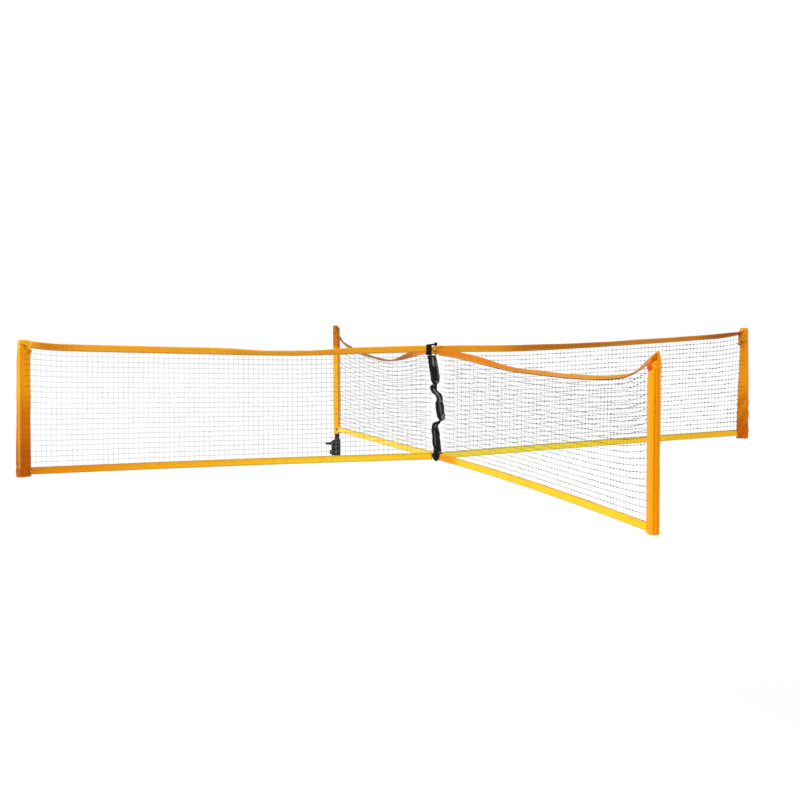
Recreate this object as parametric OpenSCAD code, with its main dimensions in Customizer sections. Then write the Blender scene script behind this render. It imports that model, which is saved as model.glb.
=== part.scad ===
// Head of a four-way volleyball net. Four net wings meet on a strap at the centre.
// Each wing hangs between a top band and a bottom tape, and ends in a fabric sleeve
// that slips over the top tube of its post. The back post keeps its lever clamp.
// Lists of four values are in the order left, right, front, back.

/* [Plan] */
// Distance from the centre axis to each post's axis
reach = 2100; // [1700:10:2600]
// Angle by which the left and right wings are set back from one straight line
side_set = 7.8; // [0:0.1:10]
// Angle by which the front and back wings lean over to the right
fore_set = 2.5; // [0:0.1:5]

/* [Heights above the net foot] */
// Lower edge of each sleeve
hem = [12, 36, -18, -34]; // [-40:1:60]
// How far each hood stands above the end of its band
hood_rise = [5, 5, 20, 6]; // [2:1:40]

/* [Top bands] */
// Height of a band from its seam to its fold
band_h = 35; // [24:1:45]
// Thickness of the fold, which holds the top cord
fold_t = 9; // [8:0.5:14]
// Thickness of the two leaves where they leave the fold
leaf_t = 4; // [2:0.2:4.4]
// Height of the seam at the centre
seam_centre = [603, 601, 592, 591]; // [585:1:620]
// Height of the seam at its lowest point
seam_low = [585, 591, 544, 519]; // [440:1:600]
// Where that lowest point lies, as a share of the way to the post
low_share = [0.36, 0.25, 0.55, 0.41]; // [0.2:0.01:0.6]
// Height of the seam where it turns up towards the post
seam_shoulder = [629, 634, 569, 584]; // [540:1:650]
// How far before the post that turn lies
shoulder_back = [200, 240, 260, 230]; // [150:1:300]
// How late the seam rises before that turn
late_rise = [1.3, 1.9, 4, 2]; // [1:0.1:5]
// How late it rises after that turn
end_rise = 1.5; // [1:0.1:3]
// Height of the seam at the sleeve
seam_end = [650, 655, 640, 655]; // [600:1:658]
// How far each band has flopped over to its wing's left, in degrees
flop = [25, -37, 82, 86]; // [-60:1:90]
// Where the flop starts, as a share of the way to the post
flop_from = [0.25, 0.2, 0.22, 0.06]; // [0.05:0.01:0.3]
// Where it is complete
flop_full = [0.4, 0.45, 0.53, 0.45]; // [0.3:0.01:0.6]
// Where it starts to change towards the sleeve
flop_back = [0.45, 0.86, 0.9, 0.76]; // [0.4:0.01:0.95]
// Length over which it changes, at most as far as the sleeve
flop_run = [250, 300, 200, 500]; // [150:10:600]
// Flop that is left where each band meets its sleeve, in degrees
flop_end = [0, -55, 30, 36]; // [-60:1:60]
// Diameter of the top and bottom cords
cord_d = 5; // [3:0.5:6]

/* [Bottom tapes] */
// Height of a tape
tape_h = 37; // [28:1:45]
// Thickness of a tape's two sewn leaves
tape_t = 5; // [3:0.5:7]
// Diameter of the pocket along its lower edge, which holds the bottom cord
pocket_d = 11; // [10:0.5:14]
// Lower edge of the tapes at the centre
tape_centre = 35; // [20:1:50]
// Lower edge of each tape at its post
tape_end = [20, 52, -16, -22]; // [-30:1:60]

/* [Nets] */
// Distance from the centre axis to the net's inner edge
net_start = 54; // [52:1:80]
// Columns of openings in each net
net_cols = 20; // [8:1:24]
// Rows of openings in each net
net_rows = 5; // [3:1:6]
// Width of a net cord
net_cord = 3; // [2:0.5:5]
// Thickness of the net
net_t = 1.6; // [1:0.1:3]
// Width of the net's edge rope
net_edge = 6; // [4:0.5:10]

/* [Sleeves] */
// Outer diameter of a sleeve round its post
sleeve_d = 44.8; // [40:0.2:52]
// Distance from the post's axis to the sewn edge that takes the net
flap = 42; // [34:1:60]
// Thickness of that sewn edge
flap_t = 6; // [4:0.5:10]
// Height of each hood
hood_h = [46, 84, 55, 60]; // [30:1:100]
// How far a hood's crown leans over to the wing's right, in degrees
hood_lean = [0, 0, 46, 40]; // [0:1:48]
// How far that lean is turned towards the net, in degrees
hood_turn = [0, 0, 30, 0]; // [0:1:40]
// How far from the post's axis the crown's ridge lies, on the side that stands high
hood_ridge = [18, 18, 14, 2]; // [0:1:18]
// How far the crown falls away beyond that ridge
hood_side = [0, 0, 42, 0]; // [0:1:46]
// Thickness of a hood's crown
crown_t = 3; // [2:0.5:5]
// How far a hood and a hem stand out over the sleeve
overfold = 0.8; // [0.4:0.1:2]
// How far a hood's outer corner is drawn in
hood_in = 4; // [2:0.5:8]
// How far that corner's slope runs down
hood_drop = 5; // [4:1:20]
// Height of the hem fold
hem_h = 14; // [8:1:24]
// Diameter of a corner tab
tab_d = 20; // [16:1:24]
// Thickness of a corner tab's leaf
tab_t = 1.5; // [1:0.5:3]
// Distance of an upper tab's centre from the sewn edge
tab_lap = 6; // [5.5:0.5:10]
// Diameter of the front wing's upper tabs, which lie round the sleeve beside its post
round_tab_d = 24; // [20:1:24]

/* [Posts] */
// Outer diameter of a post tube
tube_d = 32; // [28:0.5:34]
// Wall of a post tube
tube_wall = 2.2; // [1.8:0.1:4]
// Wall of the tube round the socket at its lower end
socket_wall = 1.5; // [0.8:0.1:1.7]
// Depth of that socket
socket_depth = 120; // [60:5:200]
// Thickness of the cap's rim
cap_t = 3; // [2:0.5:5]
// Length of the cap's plug
plug_len = 18; // [10:1:30]
// Clearance between a tube and its sleeve
sleeve_gap = 0.4; // [0.3:0.1:1]
// Height of a tube's foot above its sleeve's hem, or above the clamp's ledge
foot_rise = 2; // [1:0.5:6]

/* [Centre] */
// Diameter of the hinge cords at the centre
pin_d = 10; // [8:0.5:12]
// Outer diameter of the loops on the hinge cords
eye_d = 32; // [26:1:36]
// Height of a top loop
eye_h = 10; // [6:0.5:10]
// Thickness of the webbing that carries a loop
web_t = 6; // [4:0.5:7]
// Where the top bands start
band_start = 40; // [34:1:48]
// Where each bottom tape starts
tape_start = [22, 34, 50, 27]; // [22:1:52]
// Clearance between loops and between webbing leaves
loop_gap = 0.6; // [0.3:0.1:1]
// Height of the webbing loop that closes the top hinge cord
top_loop_h = 4; // [3:0.5:12]
// Height of the webbing loop that closes the bottom hinge cord
bottom_loop_h = 7; // [5:0.5:10]
// Where the keeper round the left band starts
keeper_start = 23; // [23:1:36]
// Length of the keeper
keeper_len = 28; // [16:1:40]
// Thickness of the keeper's webbing
keeper_t = 1.6; // [1:0.1:2.5]
// How far the keeper reaches below the band's seam
keeper_drop = 14; // [4:1:14]
// Height of the keeper's strap where it turns round the hinge cord
strap_end_h = 10; // [3:0.5:12]
// Direction that the strap's broad side runs in
strap_turn = -19.5; // [-90:0.5:90]
// Thickness of the strap as a share of its width
strap_flat = 0.72; // [0.5:0.01:1]

/* [Clamp] */
// Length of the collar
collar_len = 116; // [96:1:140]
// Outer diameter of the collar
collar_d = 44; // [42:0.5:48]
// Distance from the net foot down to the collar's top
collar_drop = 74; // [60:1:100]
// Bore of the socket for the lower pole
pole_bore = 38.2; // [36:0.2:39]
// Depth of that socket
pole_depth = 58; // [40:1:60]
// Thickness of the ledge between that socket and the grip bush
ledge_t = 4; // [3:0.5:8]
// Wall of the grip bush
bush_wall = 1.8; // [1.2:0.1:2.5]
// How far the bush's lip stands out
bush_lip = 2; // [1:0.5:3]
// Thickness of that lip
lip_t = 1.6; // [1:0.1:3]
// Width of the slit down the collar and its bush
slit_w = 3; // [2:0.5:5]
// Direction in which the clamp's lever points
lever_heading = 160; // [130:1:200]
// Distance from the tube's axis to the ears' outer face
ear_reach = 37.6; // [36:0.2:44]
// Width across the two ears
ear_w = 24; // [18:1:26]
// Height of the ears' foot above the collar's foot
ear_foot = 8; // [4:1:12]
// Height of the slope that cuts off the ears' upper corner
ear_corner = 12; // [6:1:16]
// Distance from the collar's top down to the lever's pin
pin_drop = 28.5; // [24:0.5:34]
// Diameter of the lever's pin
lever_pin_d = 5; // [3:0.5:6]
// Thickness of that pin's heads
pin_head_t = 1.5; // [1:0.1:3]
// Distance from the pin to the lever's tip
lever_len = 49; // [35:1:60]
// Diameter of the lever's hub
hub_d = 15; // [13:0.5:16]
// Diameter of the lever's tip
tip_d = 9; // [4:0.2:10]
// Thickness of a lever cheek
cheek_t = 4.2; // [3:0.1:6]
// Diameter of the locking knob
knob_d = 27; // [20:1:30]
// Length of the knob's head
knob_len = 12.6; // [8:0.2:18]
// Diameter of the lobes round its rim
lobe_d = 8; // [6:0.5:10]
// Height of the knob's axis above the collar's foot
knob_z = 31; // [22:1:36]
// Diameter of the knob's stud
stud_d = 6; // [4:0.5:8]
// Distance from the tube's axis to the nut in the ears
nut_x = 26; // [25:0.2:27]
// Width of that nut across its flats
nut_af = 10; // [9:0.5:12]
// Thickness of the nut
nut_t = 5; // [3:0.5:6]

/* [Hidden] */
$fn = 48;
LEFT = 0;
RIGHT = 1;
FRONT = 2;
BACK = 3;
ORANGE = [0.96, 0.6, 0.12];
AMBER = [0.98, 0.72, 0.16];
RUST = [0.9, 0.42, 0.14];
BLACK = [0.1, 0.1, 0.1];
GRAPHITE = [0.2, 0.2, 0.19];
CORD = [0.82, 0.8, 0.74];
STEEL = [0.6, 0.6, 0.62];
heading = [180 - side_set, side_set, -90 + fore_set, 90 - fore_set];
net_foot = collar_drop + collar_len;
hood_top = [for (w = [0:3]) seam_end[w] + band_h + hood_rise[w]];
tube_bore = tube_d - 2 * tube_wall;
socket_bore = tube_d - 2 * socket_wall;
seam_edge = reach - flap;
run_gap = 0.05;      // radial play of a pin in its hole
slip_gap = 0.1;      // radial play of a tube in its bush
seat_gap = 0.3;      // play between a soft piece and what it lies on
ledge_gap = 0.6;     // radial play of a tube in the clamp's ledge
seam_half = 0.4;     // half the thickness of a band at its seam
cord_end = 1;        // how far a hinge cord stands out of its end loop
past = 1;            // how far a cut runs past the face that it opens
eye_order = [2, 3, 1, 0];   // each wing's place in the stack of loops, from below
eye_base = max(seam_centre[FRONT], seam_centre[BACK]) + 1;
top_stack = max(eye_base + 4 * (eye_h + loop_gap), max([for (w = [0:3]) seam_centre[w] + band_h]));
low_pitch = tape_h / 4;
flap_lean = asin((sleeve_d / 2 - flap_t / 2) / flap);
collar_r = collar_d / 2;
pin_x = ear_reach - hub_d / 2;
pin_z = collar_len - pin_drop;
bush_r = tube_d / 2 + slip_gap + bush_wall;
bush_seat = pole_depth + ledge_t;
ear_root = collar_r - 4;
fork_reach = pin_drop - ear_corner / 3;

// The strap's twists from top to bottom: height, shift along its broad side, half width
strap_rings = [
    [587, -15.5, 24], [578, -15, 25.5], [562, -11.5, 25.4], [535, -8.3, 25.4], [508, -5.6, 25],
    [482, -3.5, 24.3], [458, -1.3, 22.4], [444, -0.8, 16.5], [434, -8, 13], [424, -9.6, 17.5],
    [412, -11, 17], [402, -8, 15], [391, 2, 17], [380, 10, 18.5], [369, 16.5, 18.5],
    [358, 20.5, 17.4], [345, 20.8, 20.5], [328, 22.5, 22.8], [306, 25, 23.2], [280, 28.5, 21.2],
    [262, 31, 18.2], [250, 30, 14], [243, 20, 12], [237, 9, 10], [231, 1.5, 13],
    [219, -2.8, 16.9], [199, -1.1, 18.7], [170, 1.8, 19.6], [134, 5.1, 20.6], [110, 8.3, 21.2],
    [97, 9.4, 19.5], [88, 9, 21], [73, 6, 19.5]
];

function smooth(t) = let (c = min(max(t, 0), 1)) c * c * (3 - 2 * c);
function blend(a, b, t) = a + (b - a) * t;

// Lower edge of a hood, and how far its crown has leant down at distance y right of the axis
function hood_foot(w) = hood_top[w] - hood_h[w];
function lean_drop(w, y) = tan(hood_lean[w]) * (hood_ridge[w] + y);

// Height of a band's seam at distance s from the centre
function low_at(w) = low_share[w] * reach;
function turn_at(w) = reach - shoulder_back[w];
function seam_z(w, s) =
    s < low_at(w) ? blend(seam_low[w], seam_centre[w], (1 + cos(180 * s / low_at(w))) / 2)
    : s < turn_at(w) ? blend(seam_low[w], seam_shoulder[w],
                             pow((s - low_at(w)) / (turn_at(w) - low_at(w)), late_rise[w]))
    : blend(seam_shoulder[w], seam_end[w], pow((s - turn_at(w)) / (seam_edge - turn_at(w)), end_rise));

// Angle by which a band has flopped over at distance s
function flop_at(w, s) = let (
        from = flop_back[w] * reach,
        to = min(from + flop_run[w], seam_edge))
    blend(flop[w] * smooth((s / reach - flop_from[w]) / (flop_full[w] - flop_from[w])),
          flop_end[w], smooth((s - from) / (to - from)));

// Lower edge of a tape, and its slope
function tape_z(w, s) = blend(tape_centre, tape_end[w], s / reach);
function tape_slope(w) = atan((tape_end[w] - tape_centre) / reach);

// A point of a band's section: u from the seam towards the fold, v across it
function on_band(w, s, p) = let (a = flop_at(w, s))
    [s, p[0] * sin(a) + p[1] * cos(a), seam_z(w, s) + p[0] * cos(a) - p[1] * sin(a)];

// Where the net's columns stand
function col_s(i) = blend(net_start, seam_edge, i / net_cols);
band_stations = concat([band_start], [for (i = [0:net_cols]) col_s(i)]);

// Outline of a band's fold and leaves round its cord channel, and the channel itself
fold_u = band_h - fold_t / 2;
band_section = [
    [band_h, fold_t / 4], [fold_u, fold_t / 2], [fold_u - fold_t, leaf_t / 2], [0, seam_half],
    [0, -seam_half], [fold_u - fold_t, -leaf_t / 2], [fold_u, -fold_t / 2], [band_h, -fold_t / 4]
];
function ring_of(r) = [for (k = [0:7]) [fold_u + r * cos(22.5 + 45 * k), r * sin(22.5 + 45 * k)]];
channel_r = (cord_d / 2 + seat_gap) / cos(22.5);

module on_wing(w) rotate([0, 0, heading[w]]) translate([0, 0, net_foot]) children();
module at_post(w) rotate([0, 0, heading[w]]) translate([reach, 0, 0]) children();
module in_wing_plane(t) rotate([90, 0, 0]) linear_extrude(t, center = true) children();

// A tube along a wing's band: the section's outer ring, with an inner ring where it is hollow
module band_sweep(w, outer, inner) {
    n = len(outer);
    m = len(band_stations);
    hollow = len(inner) > 0;
    rings = hollow ? [outer, inner] : [outer];
    pts = [for (r = rings) for (s = band_stations) for (p = r) on_band(w, s, p)];
    skin = [for (k = [0:len(rings) - 1]) for (i = [0:m - 2]) for (j = [0:n - 1])
        let (a = (k * m + i) * n + j, b = (k * m + i) * n + (j + 1) % n)
        each (k == 0 ? [[a, b, a + n], [b, b + n, a + n]] : [[a, a + n, b], [b, a + n, b + n]])];
    last = (m - 1) * n;
    inside = m * n;
    caps = hollow
        ? [for (j = [0:n - 1]) let (k = (j + 1) % n)
            each [[j, inside + j, k], [k, inside + j, inside + k],
                  [last + j, last + k, inside + last + j],
                  [last + k, inside + last + k, inside + last + j]]]
        : [for (j = [1:n - 2]) each [[0, j + 1, j], [last, last + j, last + j + 1]]];
    polyhedron(pts, concat(skin, caps), convexity = 6);
}

// Outline of a sleeve in plan: round at the post, drawn in to the sewn edge
module sleeve_outline(r) {
    lean = asin((r - flap_t / 2) / flap);
    tangent = [-r * sin(lean), r * cos(lean)];
    circle(r = r);
    polygon([[-flap, -flap_t / 2], [tangent[0], -tangent[1]], tangent, [-flap, flap_t / 2]]);
}

module top_band(w) color(ORANGE) on_wing(w) band_sweep(w, band_section, ring_of(channel_r));

module top_cord(w) color(CORD) on_wing(w) band_sweep(w, ring_of(cord_d / 2), []);

// A round bar along a tape's pocket
module pocket_bar(w, d, over) {
    slope = tape_slope(w);
    from = tape_start[w] - over;
    length = (seam_edge - tape_start[w] + 2 * over) / cos(slope);
    translate([from, 0, tape_z(w, from) + pocket_d / 2])
        rotate([0, 90 - slope, 0])
            cylinder(d = d, h = length);
}

module bottom_tape(w) color(AMBER) on_wing(w) difference() {
    union() {
        in_wing_plane(tape_t) polygon([
            [tape_start[w], tape_z(w, tape_start[w]) + pocket_d / 2],
            [seam_edge, tape_z(w, seam_edge) + pocket_d / 2],
            [seam_edge, tape_z(w, seam_edge) + tape_h],
            [tape_start[w], tape_z(w, tape_start[w]) + tape_h]
        ]);
        pocket_bar(w, pocket_d, 0);
    }
    pocket_bar(w, cord_d + 2 * seat_gap, past);
}

module bottom_cord(w) color(CORD) on_wing(w) pocket_bar(w, cord_d, 0);

// The net: one plate with an opening for each cell, its rows fanned between tape and band
function net_lo(w, s) = tape_z(w, s) + tape_h;
function net_hi(w, s) = seam_z(w, s) - seam_half;
function row_z(w, s, t) = blend(net_lo(w, s) + net_edge - net_cord / 2,
                                net_hi(w, s) - net_edge + net_cord / 2, t);
function cell(w, i, j) = let (
        half = net_cord / 2,
        a = i == 0 ? net_start + net_edge : col_s(i) + half,
        b = i == net_cols - 1 ? seam_edge - net_edge : col_s(i + 1) - half,
        t = j / net_rows,
        u = (j + 1) / net_rows)
    [[a, row_z(w, a, t) + half], [b, row_z(w, b, t) + half],
     [b, row_z(w, b, u) - half], [a, row_z(w, a, u) - half]];

module net(w) color(GRAPHITE) on_wing(w) {
    rim = concat([[net_start, net_lo(w, net_start)], [seam_edge, net_lo(w, seam_edge)]],
                 [for (i = [net_cols:-1:0]) [col_s(i), net_hi(w, col_s(i))]]);
    n = len(rim);
    cells = [for (i = [0:net_cols - 1]) for (j = [0:net_rows - 1]) cell(w, i, j)];
    in_wing_plane(net_t) polygon(
        concat(rim, [for (c = cells) each c]),
        concat([[for (k = [0:n - 1]) k]],
               [for (k = [0:len(cells) - 1]) [for (q = [0:3]) n + 4 * k + q]]));
}

// A loop on the hinge cord, with its webbing fanned out to the full height of what it carries
module eye(slot_lo, slot_h, end_lo, end_hi, end_s) {
    clear_s = eye_d / 2 + loop_gap;
    difference() {
        union() {
            translate([0, 0, slot_lo]) cylinder(d = eye_d, h = slot_h);
            in_wing_plane(web_t) polygon([
                [pin_d / 2, slot_lo], [clear_s, slot_lo], [end_s, end_lo],
                [end_s, end_hi], [clear_s, slot_lo + slot_h], [pin_d / 2, slot_lo + slot_h]
            ]);
        }
        translate([0, 0, slot_lo - past]) cylinder(d = pin_d + 2 * seat_gap, h = slot_h + 2 * past);
    }
}

module top_eye(w) color(ORANGE) on_wing(w)
    eye(eye_base + eye_order[w] * (eye_h + loop_gap), eye_h,
        seam_z(w, band_start), seam_z(w, band_start) + band_h, band_start);

module bottom_eye(w) color(BLACK) on_wing(w)
    eye(tape_centre + eye_order[w] * low_pitch, low_pitch - loop_gap,
        tape_z(w, tape_start[w]), tape_z(w, tape_start[w]) + tape_h, tape_start[w]);

module sleeve(w) color(ORANGE) at_post(w) {
    top = net_foot + hood_foot(w);
    foot = net_foot + hem[w];
    difference() {
        union() {
            translate([0, 0, foot]) linear_extrude(top - foot) sleeve_outline(sleeve_d / 2);
            translate([0, 0, foot]) cylinder(d = sleeve_d + 2 * overfold, h = hem_h);
        }
        translate([0, 0, foot - past]) cylinder(d = tube_d + 2 * sleeve_gap, h = top - foot + 2 * past);
    }
}

// The cap of fabric over a post's top. It takes in the band's end and leans over where
// the slack band pulls it down.
module hood(w) color(ORANGE) at_post(w) {
    top = net_foot + hood_top[w];
    foot = net_foot + hood_foot(w);
    r = sleeve_d / 2 + overfold;
    far = 2 * r;
    difference() {
        intersection() {
            hull() {
                translate([0, 0, foot]) cylinder(r = r, h = top - foot, $fn = 32);
                translate([-flap, -flap_t / 2, foot])
                    cube([past, flap_t, net_foot + seam_end[w] - foot]);
                translate([-flap, 0, net_foot + seam_end[w]])
                    rotate([90, 0, 90]) linear_extrude(past)
                        rotate(90 - flop_end[w]) polygon([for (p = band_section) [p[0], -p[1]]]);
            }
            in_wing_plane(2 * far) polygon([
                [-far, foot], [-far, top], [r - hood_in, top], [r, top - hood_drop], [r, foot]
            ]);
            rotate([0, 0, -hood_turn[w]]) translate([-2 * far, 0, 0]) rotate([90, 0, 90])
                linear_extrude(4 * far) polygon([
                    [-far, foot - past], [-far, top - lean_drop(w, far)], [hood_ridge[w], top],
                    [r + past, top - hood_side[w]], [r + past, foot - past]
                ]);
        }
        translate([0, 0, foot - past])
            cylinder(d = tube_d + 2 * sleeve_gap, h = tube_top(w) + cap_t + seat_gap + past - foot);
    }
}

// Leaves sewn on both faces of the sleeve where the net's upper and lower corners meet it
module corner_tabs(w) color(RUST) on_wing(w)
    for (side = [-1, 1]) {
        if (w == FRONT)
            on_sleeve(w, side, min(seam_end[w], hood_foot(w)) - seat_gap - round_tab_d / 2);
        else
            on_flap(side, tab_lap, min(seam_end[w], hood_foot(w)) - seat_gap - tab_d / 2);
        on_flap(side, tab_d / 2 + seat_gap, tape_z(w, seam_edge) + tape_h / 2);
    }

// A tab's leaf on one face of the sewn edge, at distance along from that edge
module on_flap(side, along, z)
    translate([seam_edge, side * flap_t / 2, z])
        rotate([0, 0, side * flap_lean])
            translate([along, side * (seat_gap + tab_t / 2), 0])
                rotate([90, 0, 0]) cylinder(d = tab_d, h = tab_t, center = true);

// A tab's leaf round one side of a sleeve
module on_sleeve(w, side, z) translate([reach, 0, z]) intersection() {
    rotate([-90 * side, 0, 0]) cylinder(d = round_tab_d, h = sleeve_d);
    difference() {
        cylinder(r = sleeve_d / 2 + seat_gap + tab_t, h = 2 * round_tab_d, center = true);
        cylinder(r = sleeve_d / 2 + seat_gap, h = 2 * round_tab_d + 2 * past, center = true);
    }
}

function tube_foot(w) = foot_rise + (w == BACK ? bush_seat : net_foot + hem[w]);
function tube_top(w) = net_foot + hood_top[w] - lean_drop(w, tube_d / 2) - crown_t / cos(hood_lean[w])
    - seat_gap - cap_t;

module post(w) color(BLACK) at_post(w) difference() {
    translate([0, 0, tube_foot(w)]) cylinder(d = tube_d, h = tube_top(w) - tube_foot(w));
    translate([0, 0, tube_foot(w) - past]) cylinder(d = socket_bore, h = socket_depth + past);
    translate([0, 0, tube_foot(w)]) cylinder(d = tube_bore, h = tube_top(w) - tube_foot(w) + past);
}

module post_cap(w) color(GRAPHITE) at_post(w) {
    translate([0, 0, tube_top(w)]) cylinder(d = tube_d, h = cap_t);
    translate([0, 0, tube_top(w) - plug_len]) cylinder(d = tube_bore - 2 * slip_gap, h = plug_len);
}

// Black webbing sewn round the left band next to the centre, with a strap that runs over
// the loops and turns round the hinge cord
module band_keeper() color(BLACK) on_wing(LEFT) {
    lo = seam_centre[LEFT] - keeper_drop;
    hi = seam_centre[LEFT] + band_h + seat_gap;
    in_y = fold_t / 2 + seat_gap;
    out_y = in_y + keeper_t;
    keeper_end = keeper_start + keeper_len;
    translate([keeper_start, 0, 0]) rotate([90, 0, 90]) linear_extrude(keeper_len) difference() {
        translate([-out_y, lo - keeper_t]) square([2 * out_y, hi - lo + 2 * keeper_t]);
        translate([-in_y, lo]) square([2 * in_y, hi - lo]);
    }
    difference() {
        union() {
            in_wing_plane(2 * out_y) polygon([
                [0, strap_end_z], [keeper_end, strap_end_z], [keeper_end, hi + keeper_t + 0.3 * strap_end_h],
                [keeper_start, strap_end_z + 0.7 * strap_end_h], [0, strap_end_z + strap_end_h]
            ]);
            translate([0, 0, strap_end_z]) cylinder(r = pin_d / 2 + out_y / 2, h = strap_end_h);
        }
        translate([0, 0, strap_end_z - past])
            cylinder(d = pin_d + 2 * seat_gap, h = strap_end_h + 2 * past);
    }
}

module at_centre() translate([0, 0, net_foot]) children();

// The short cords that the loops turn on
strap_top = strap_rings[0][0];
strap_foot = strap_rings[len(strap_rings) - 1][0];
strap_end_z = top_stack + seat_gap;
top_loop_z = strap_end_z + strap_end_h + seat_gap;
bottom_loop_z = tape_centre - seat_gap - bottom_loop_h;

module top_hinge_cord() color(BLACK) at_centre() translate([0, 0, strap_top])
    cylinder(d = pin_d, h = top_loop_z + top_loop_h + cord_end - strap_top);

module bottom_hinge_cord() color(BLACK) at_centre() translate([0, 0, bottom_loop_z - cord_end])
    cylinder(d = pin_d, h = strap_foot - bottom_loop_z + cord_end);

// Webbing turned round the end of a hinge cord, rounded outwards
module turned_webbing(z, h) translate([0, 0, z]) rotate_extrude()
    translate([pin_d / 2 + slip_gap, 0]) intersection() {
        square(h);
        translate([-h / 4, h / 2]) circle(r = h);
    }

module top_loop() color(BLACK) at_centre() turned_webbing(top_loop_z, top_loop_h);

module bottom_loop() color(BLACK) at_centre() turned_webbing(bottom_loop_z, bottom_loop_h);

// The padded strap, twisted and drawn in at its ties
module centre_strap() color(BLACK) rotate([0, 0, strap_turn]) at_centre() {
    sides = 12;
    n = len(strap_rings);
    pts = [for (r = strap_rings) for (k = [0:sides - 1])
        [r[1] + r[2] * cos(360 * k / sides), strap_flat * r[2] * sin(360 * k / sides), r[0]]];
    skin = [for (i = [0:n - 2]) for (k = [0:sides - 1])
        let (a = i * sides + k, b = i * sides + (k + 1) % sides)
        each [[a, b, a + sides], [b, b + sides, a + sides]]];
    last = (n - 1) * sides;
    caps = [for (k = [1:sides - 2]) each [[0, k + 1, k], [last, last + k, last + k + 1]]];
    polyhedron(pts, concat(skin, caps), convexity = 4);
}

module in_clamp() at_post(BACK) rotate([0, 0, lever_heading - heading[BACK]]) children();
module along_pin(d, h)
    translate([pin_x, 0, pin_z])
        rotate([90, 0, 0])
            cylinder(d = d, h = h, center = true);
module along_stud(d, from, to)
    translate([from, 0, knob_z])
        rotate([0, 90, 0])
            cylinder(d = d, h = to - from);

// The split collar: the lower pole's socket below, the grip bush above, two ears beside the slit
module collar() color(GRAPHITE) in_clamp() difference() {
    union() {
        cylinder(d = collar_d, h = collar_len);
        in_wing_plane(ear_w) polygon([
            [ear_root, ear_foot], [ear_reach, ear_foot], [ear_reach, collar_len - ear_corner],
            [ear_root, collar_len]
        ]);
    }
    translate([0, 0, -past]) cylinder(d = pole_bore, h = pole_depth + past);
    translate([0, 0, pole_depth - past]) cylinder(d = tube_d + 2 * ledge_gap, h = collar_len);
    translate([0, 0, bush_seat]) cylinder(r = bush_r + slip_gap, h = collar_len);
    translate([0, -slit_w / 2, bush_seat]) cube([ear_reach + past, slit_w, collar_len]);
    along_pin(lever_pin_d + 2 * run_gap, ear_w + 2 * past);
    along_stud(stud_d + 2 * run_gap, 0, ear_reach + past);
    translate([nut_x - slip_gap, -nut_af / 2 - slip_gap, ear_foot - past])
        cube([nut_t + 2 * slip_gap, nut_af + 2 * slip_gap, knob_z + nut_af / 2 + 2 * past - ear_foot]);
}

module grip_bush() color(CORD) in_clamp() difference() {
    lip_z = collar_len + seat_gap;
    union() {
        translate([0, 0, bush_seat + seat_gap])
            cylinder(r = bush_r, h = lip_z + lip_t - bush_seat - seat_gap);
        translate([0, 0, lip_z]) cylinder(r = bush_r + bush_lip, h = lip_t);
    }
    translate([0, 0, pole_depth]) cylinder(d = tube_d + 2 * slip_gap, h = collar_len);
    translate([0, -slit_w / 2, pole_depth]) cube([collar_d, slit_w, collar_len]);
}

// The lever: a fork over the ears that closes to a flat tip
fork_w = ear_w + 2 * seat_gap;
lever_w = fork_w + 2 * cheek_t;
tip_x = lever_len - tip_d / 2;

module lever() color(GRAPHITE) in_clamp() translate([pin_x, 0, pin_z]) difference() {
    in_wing_plane(lever_w) {
        circle(d = hub_d);
        polygon([[0, hub_d / 2], [0, -hub_d / 2], [tip_x, -tip_d / 2], [tip_x, tip_d / 2]]);
        translate([tip_x, 0]) circle(d = tip_d);
    }
    rotate([90, 0, 0]) cylinder(r = fork_reach, h = fork_w, center = true);
    rotate([90, 0, 0]) cylinder(d = lever_pin_d + 2 * run_gap, h = lever_w + 2 * past, center = true);
}

module lever_pin() color(STEEL) in_clamp() {
    across = lever_w + 2 * slip_gap;
    along_pin(lever_pin_d, across);
    for (side = [-1, 1])
        translate([pin_x, side * (across + pin_head_t) / 2, pin_z])
            rotate([90, 0, 0])
                cylinder(d = 1.6 * lever_pin_d, h = pin_head_t, center = true);
}

// The locking knob: a lobed head on the stud that bears on the lower pole
module knob() color(GRAPHITE) in_clamp() {
    from = ear_reach + seat_gap;
    rim_r = (knob_d - lobe_d) / 2;
    translate([from, 0, knob_z]) rotate([0, 90, 0]) linear_extrude(knob_len) {
        circle(r = rim_r + lobe_d / 4);
        for (a = [0:60:300])
            rotate(a) translate([rim_r, 0]) circle(d = lobe_d);
    }
    along_stud(stud_d, pole_bore / 2 + seat_gap, from + past);
}

module knob_nut() color(STEEL) in_clamp() difference() {
    translate([nut_x, 0, knob_z])
        rotate([0, 90, 0])
            cylinder(d = nut_af / cos(30), h = nut_t, $fn = 6);
    along_stud(stud_d + 2 * run_gap, nut_x - past, nut_x + nut_t + past);
}

net(LEFT);  // net_left
net(RIGHT);  // net_right
net(FRONT);  // net_front
net(BACK);  // net_back
top_band(LEFT);  // top_band_left
top_band(RIGHT);  // top_band_right
top_band(FRONT);  // top_band_front
top_band(BACK);  // top_band_back
top_cord(LEFT);  // top_cord_left
top_cord(RIGHT);  // top_cord_right
top_cord(FRONT);  // top_cord_front
top_cord(BACK);  // top_cord_back
bottom_tape(LEFT);  // bottom_tape_left
bottom_tape(RIGHT);  // bottom_tape_right
bottom_tape(FRONT);  // bottom_tape_front
bottom_tape(BACK);  // bottom_tape_back
bottom_cord(LEFT);  // bottom_cord_left
bottom_cord(RIGHT);  // bottom_cord_right
bottom_cord(FRONT);  // bottom_cord_front
bottom_cord(BACK);  // bottom_cord_back
top_eye(LEFT);  // top_eye_left
top_eye(RIGHT);  // top_eye_right
top_eye(FRONT);  // top_eye_front
top_eye(BACK);  // top_eye_back
bottom_eye(LEFT);  // bottom_eye_left
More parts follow.
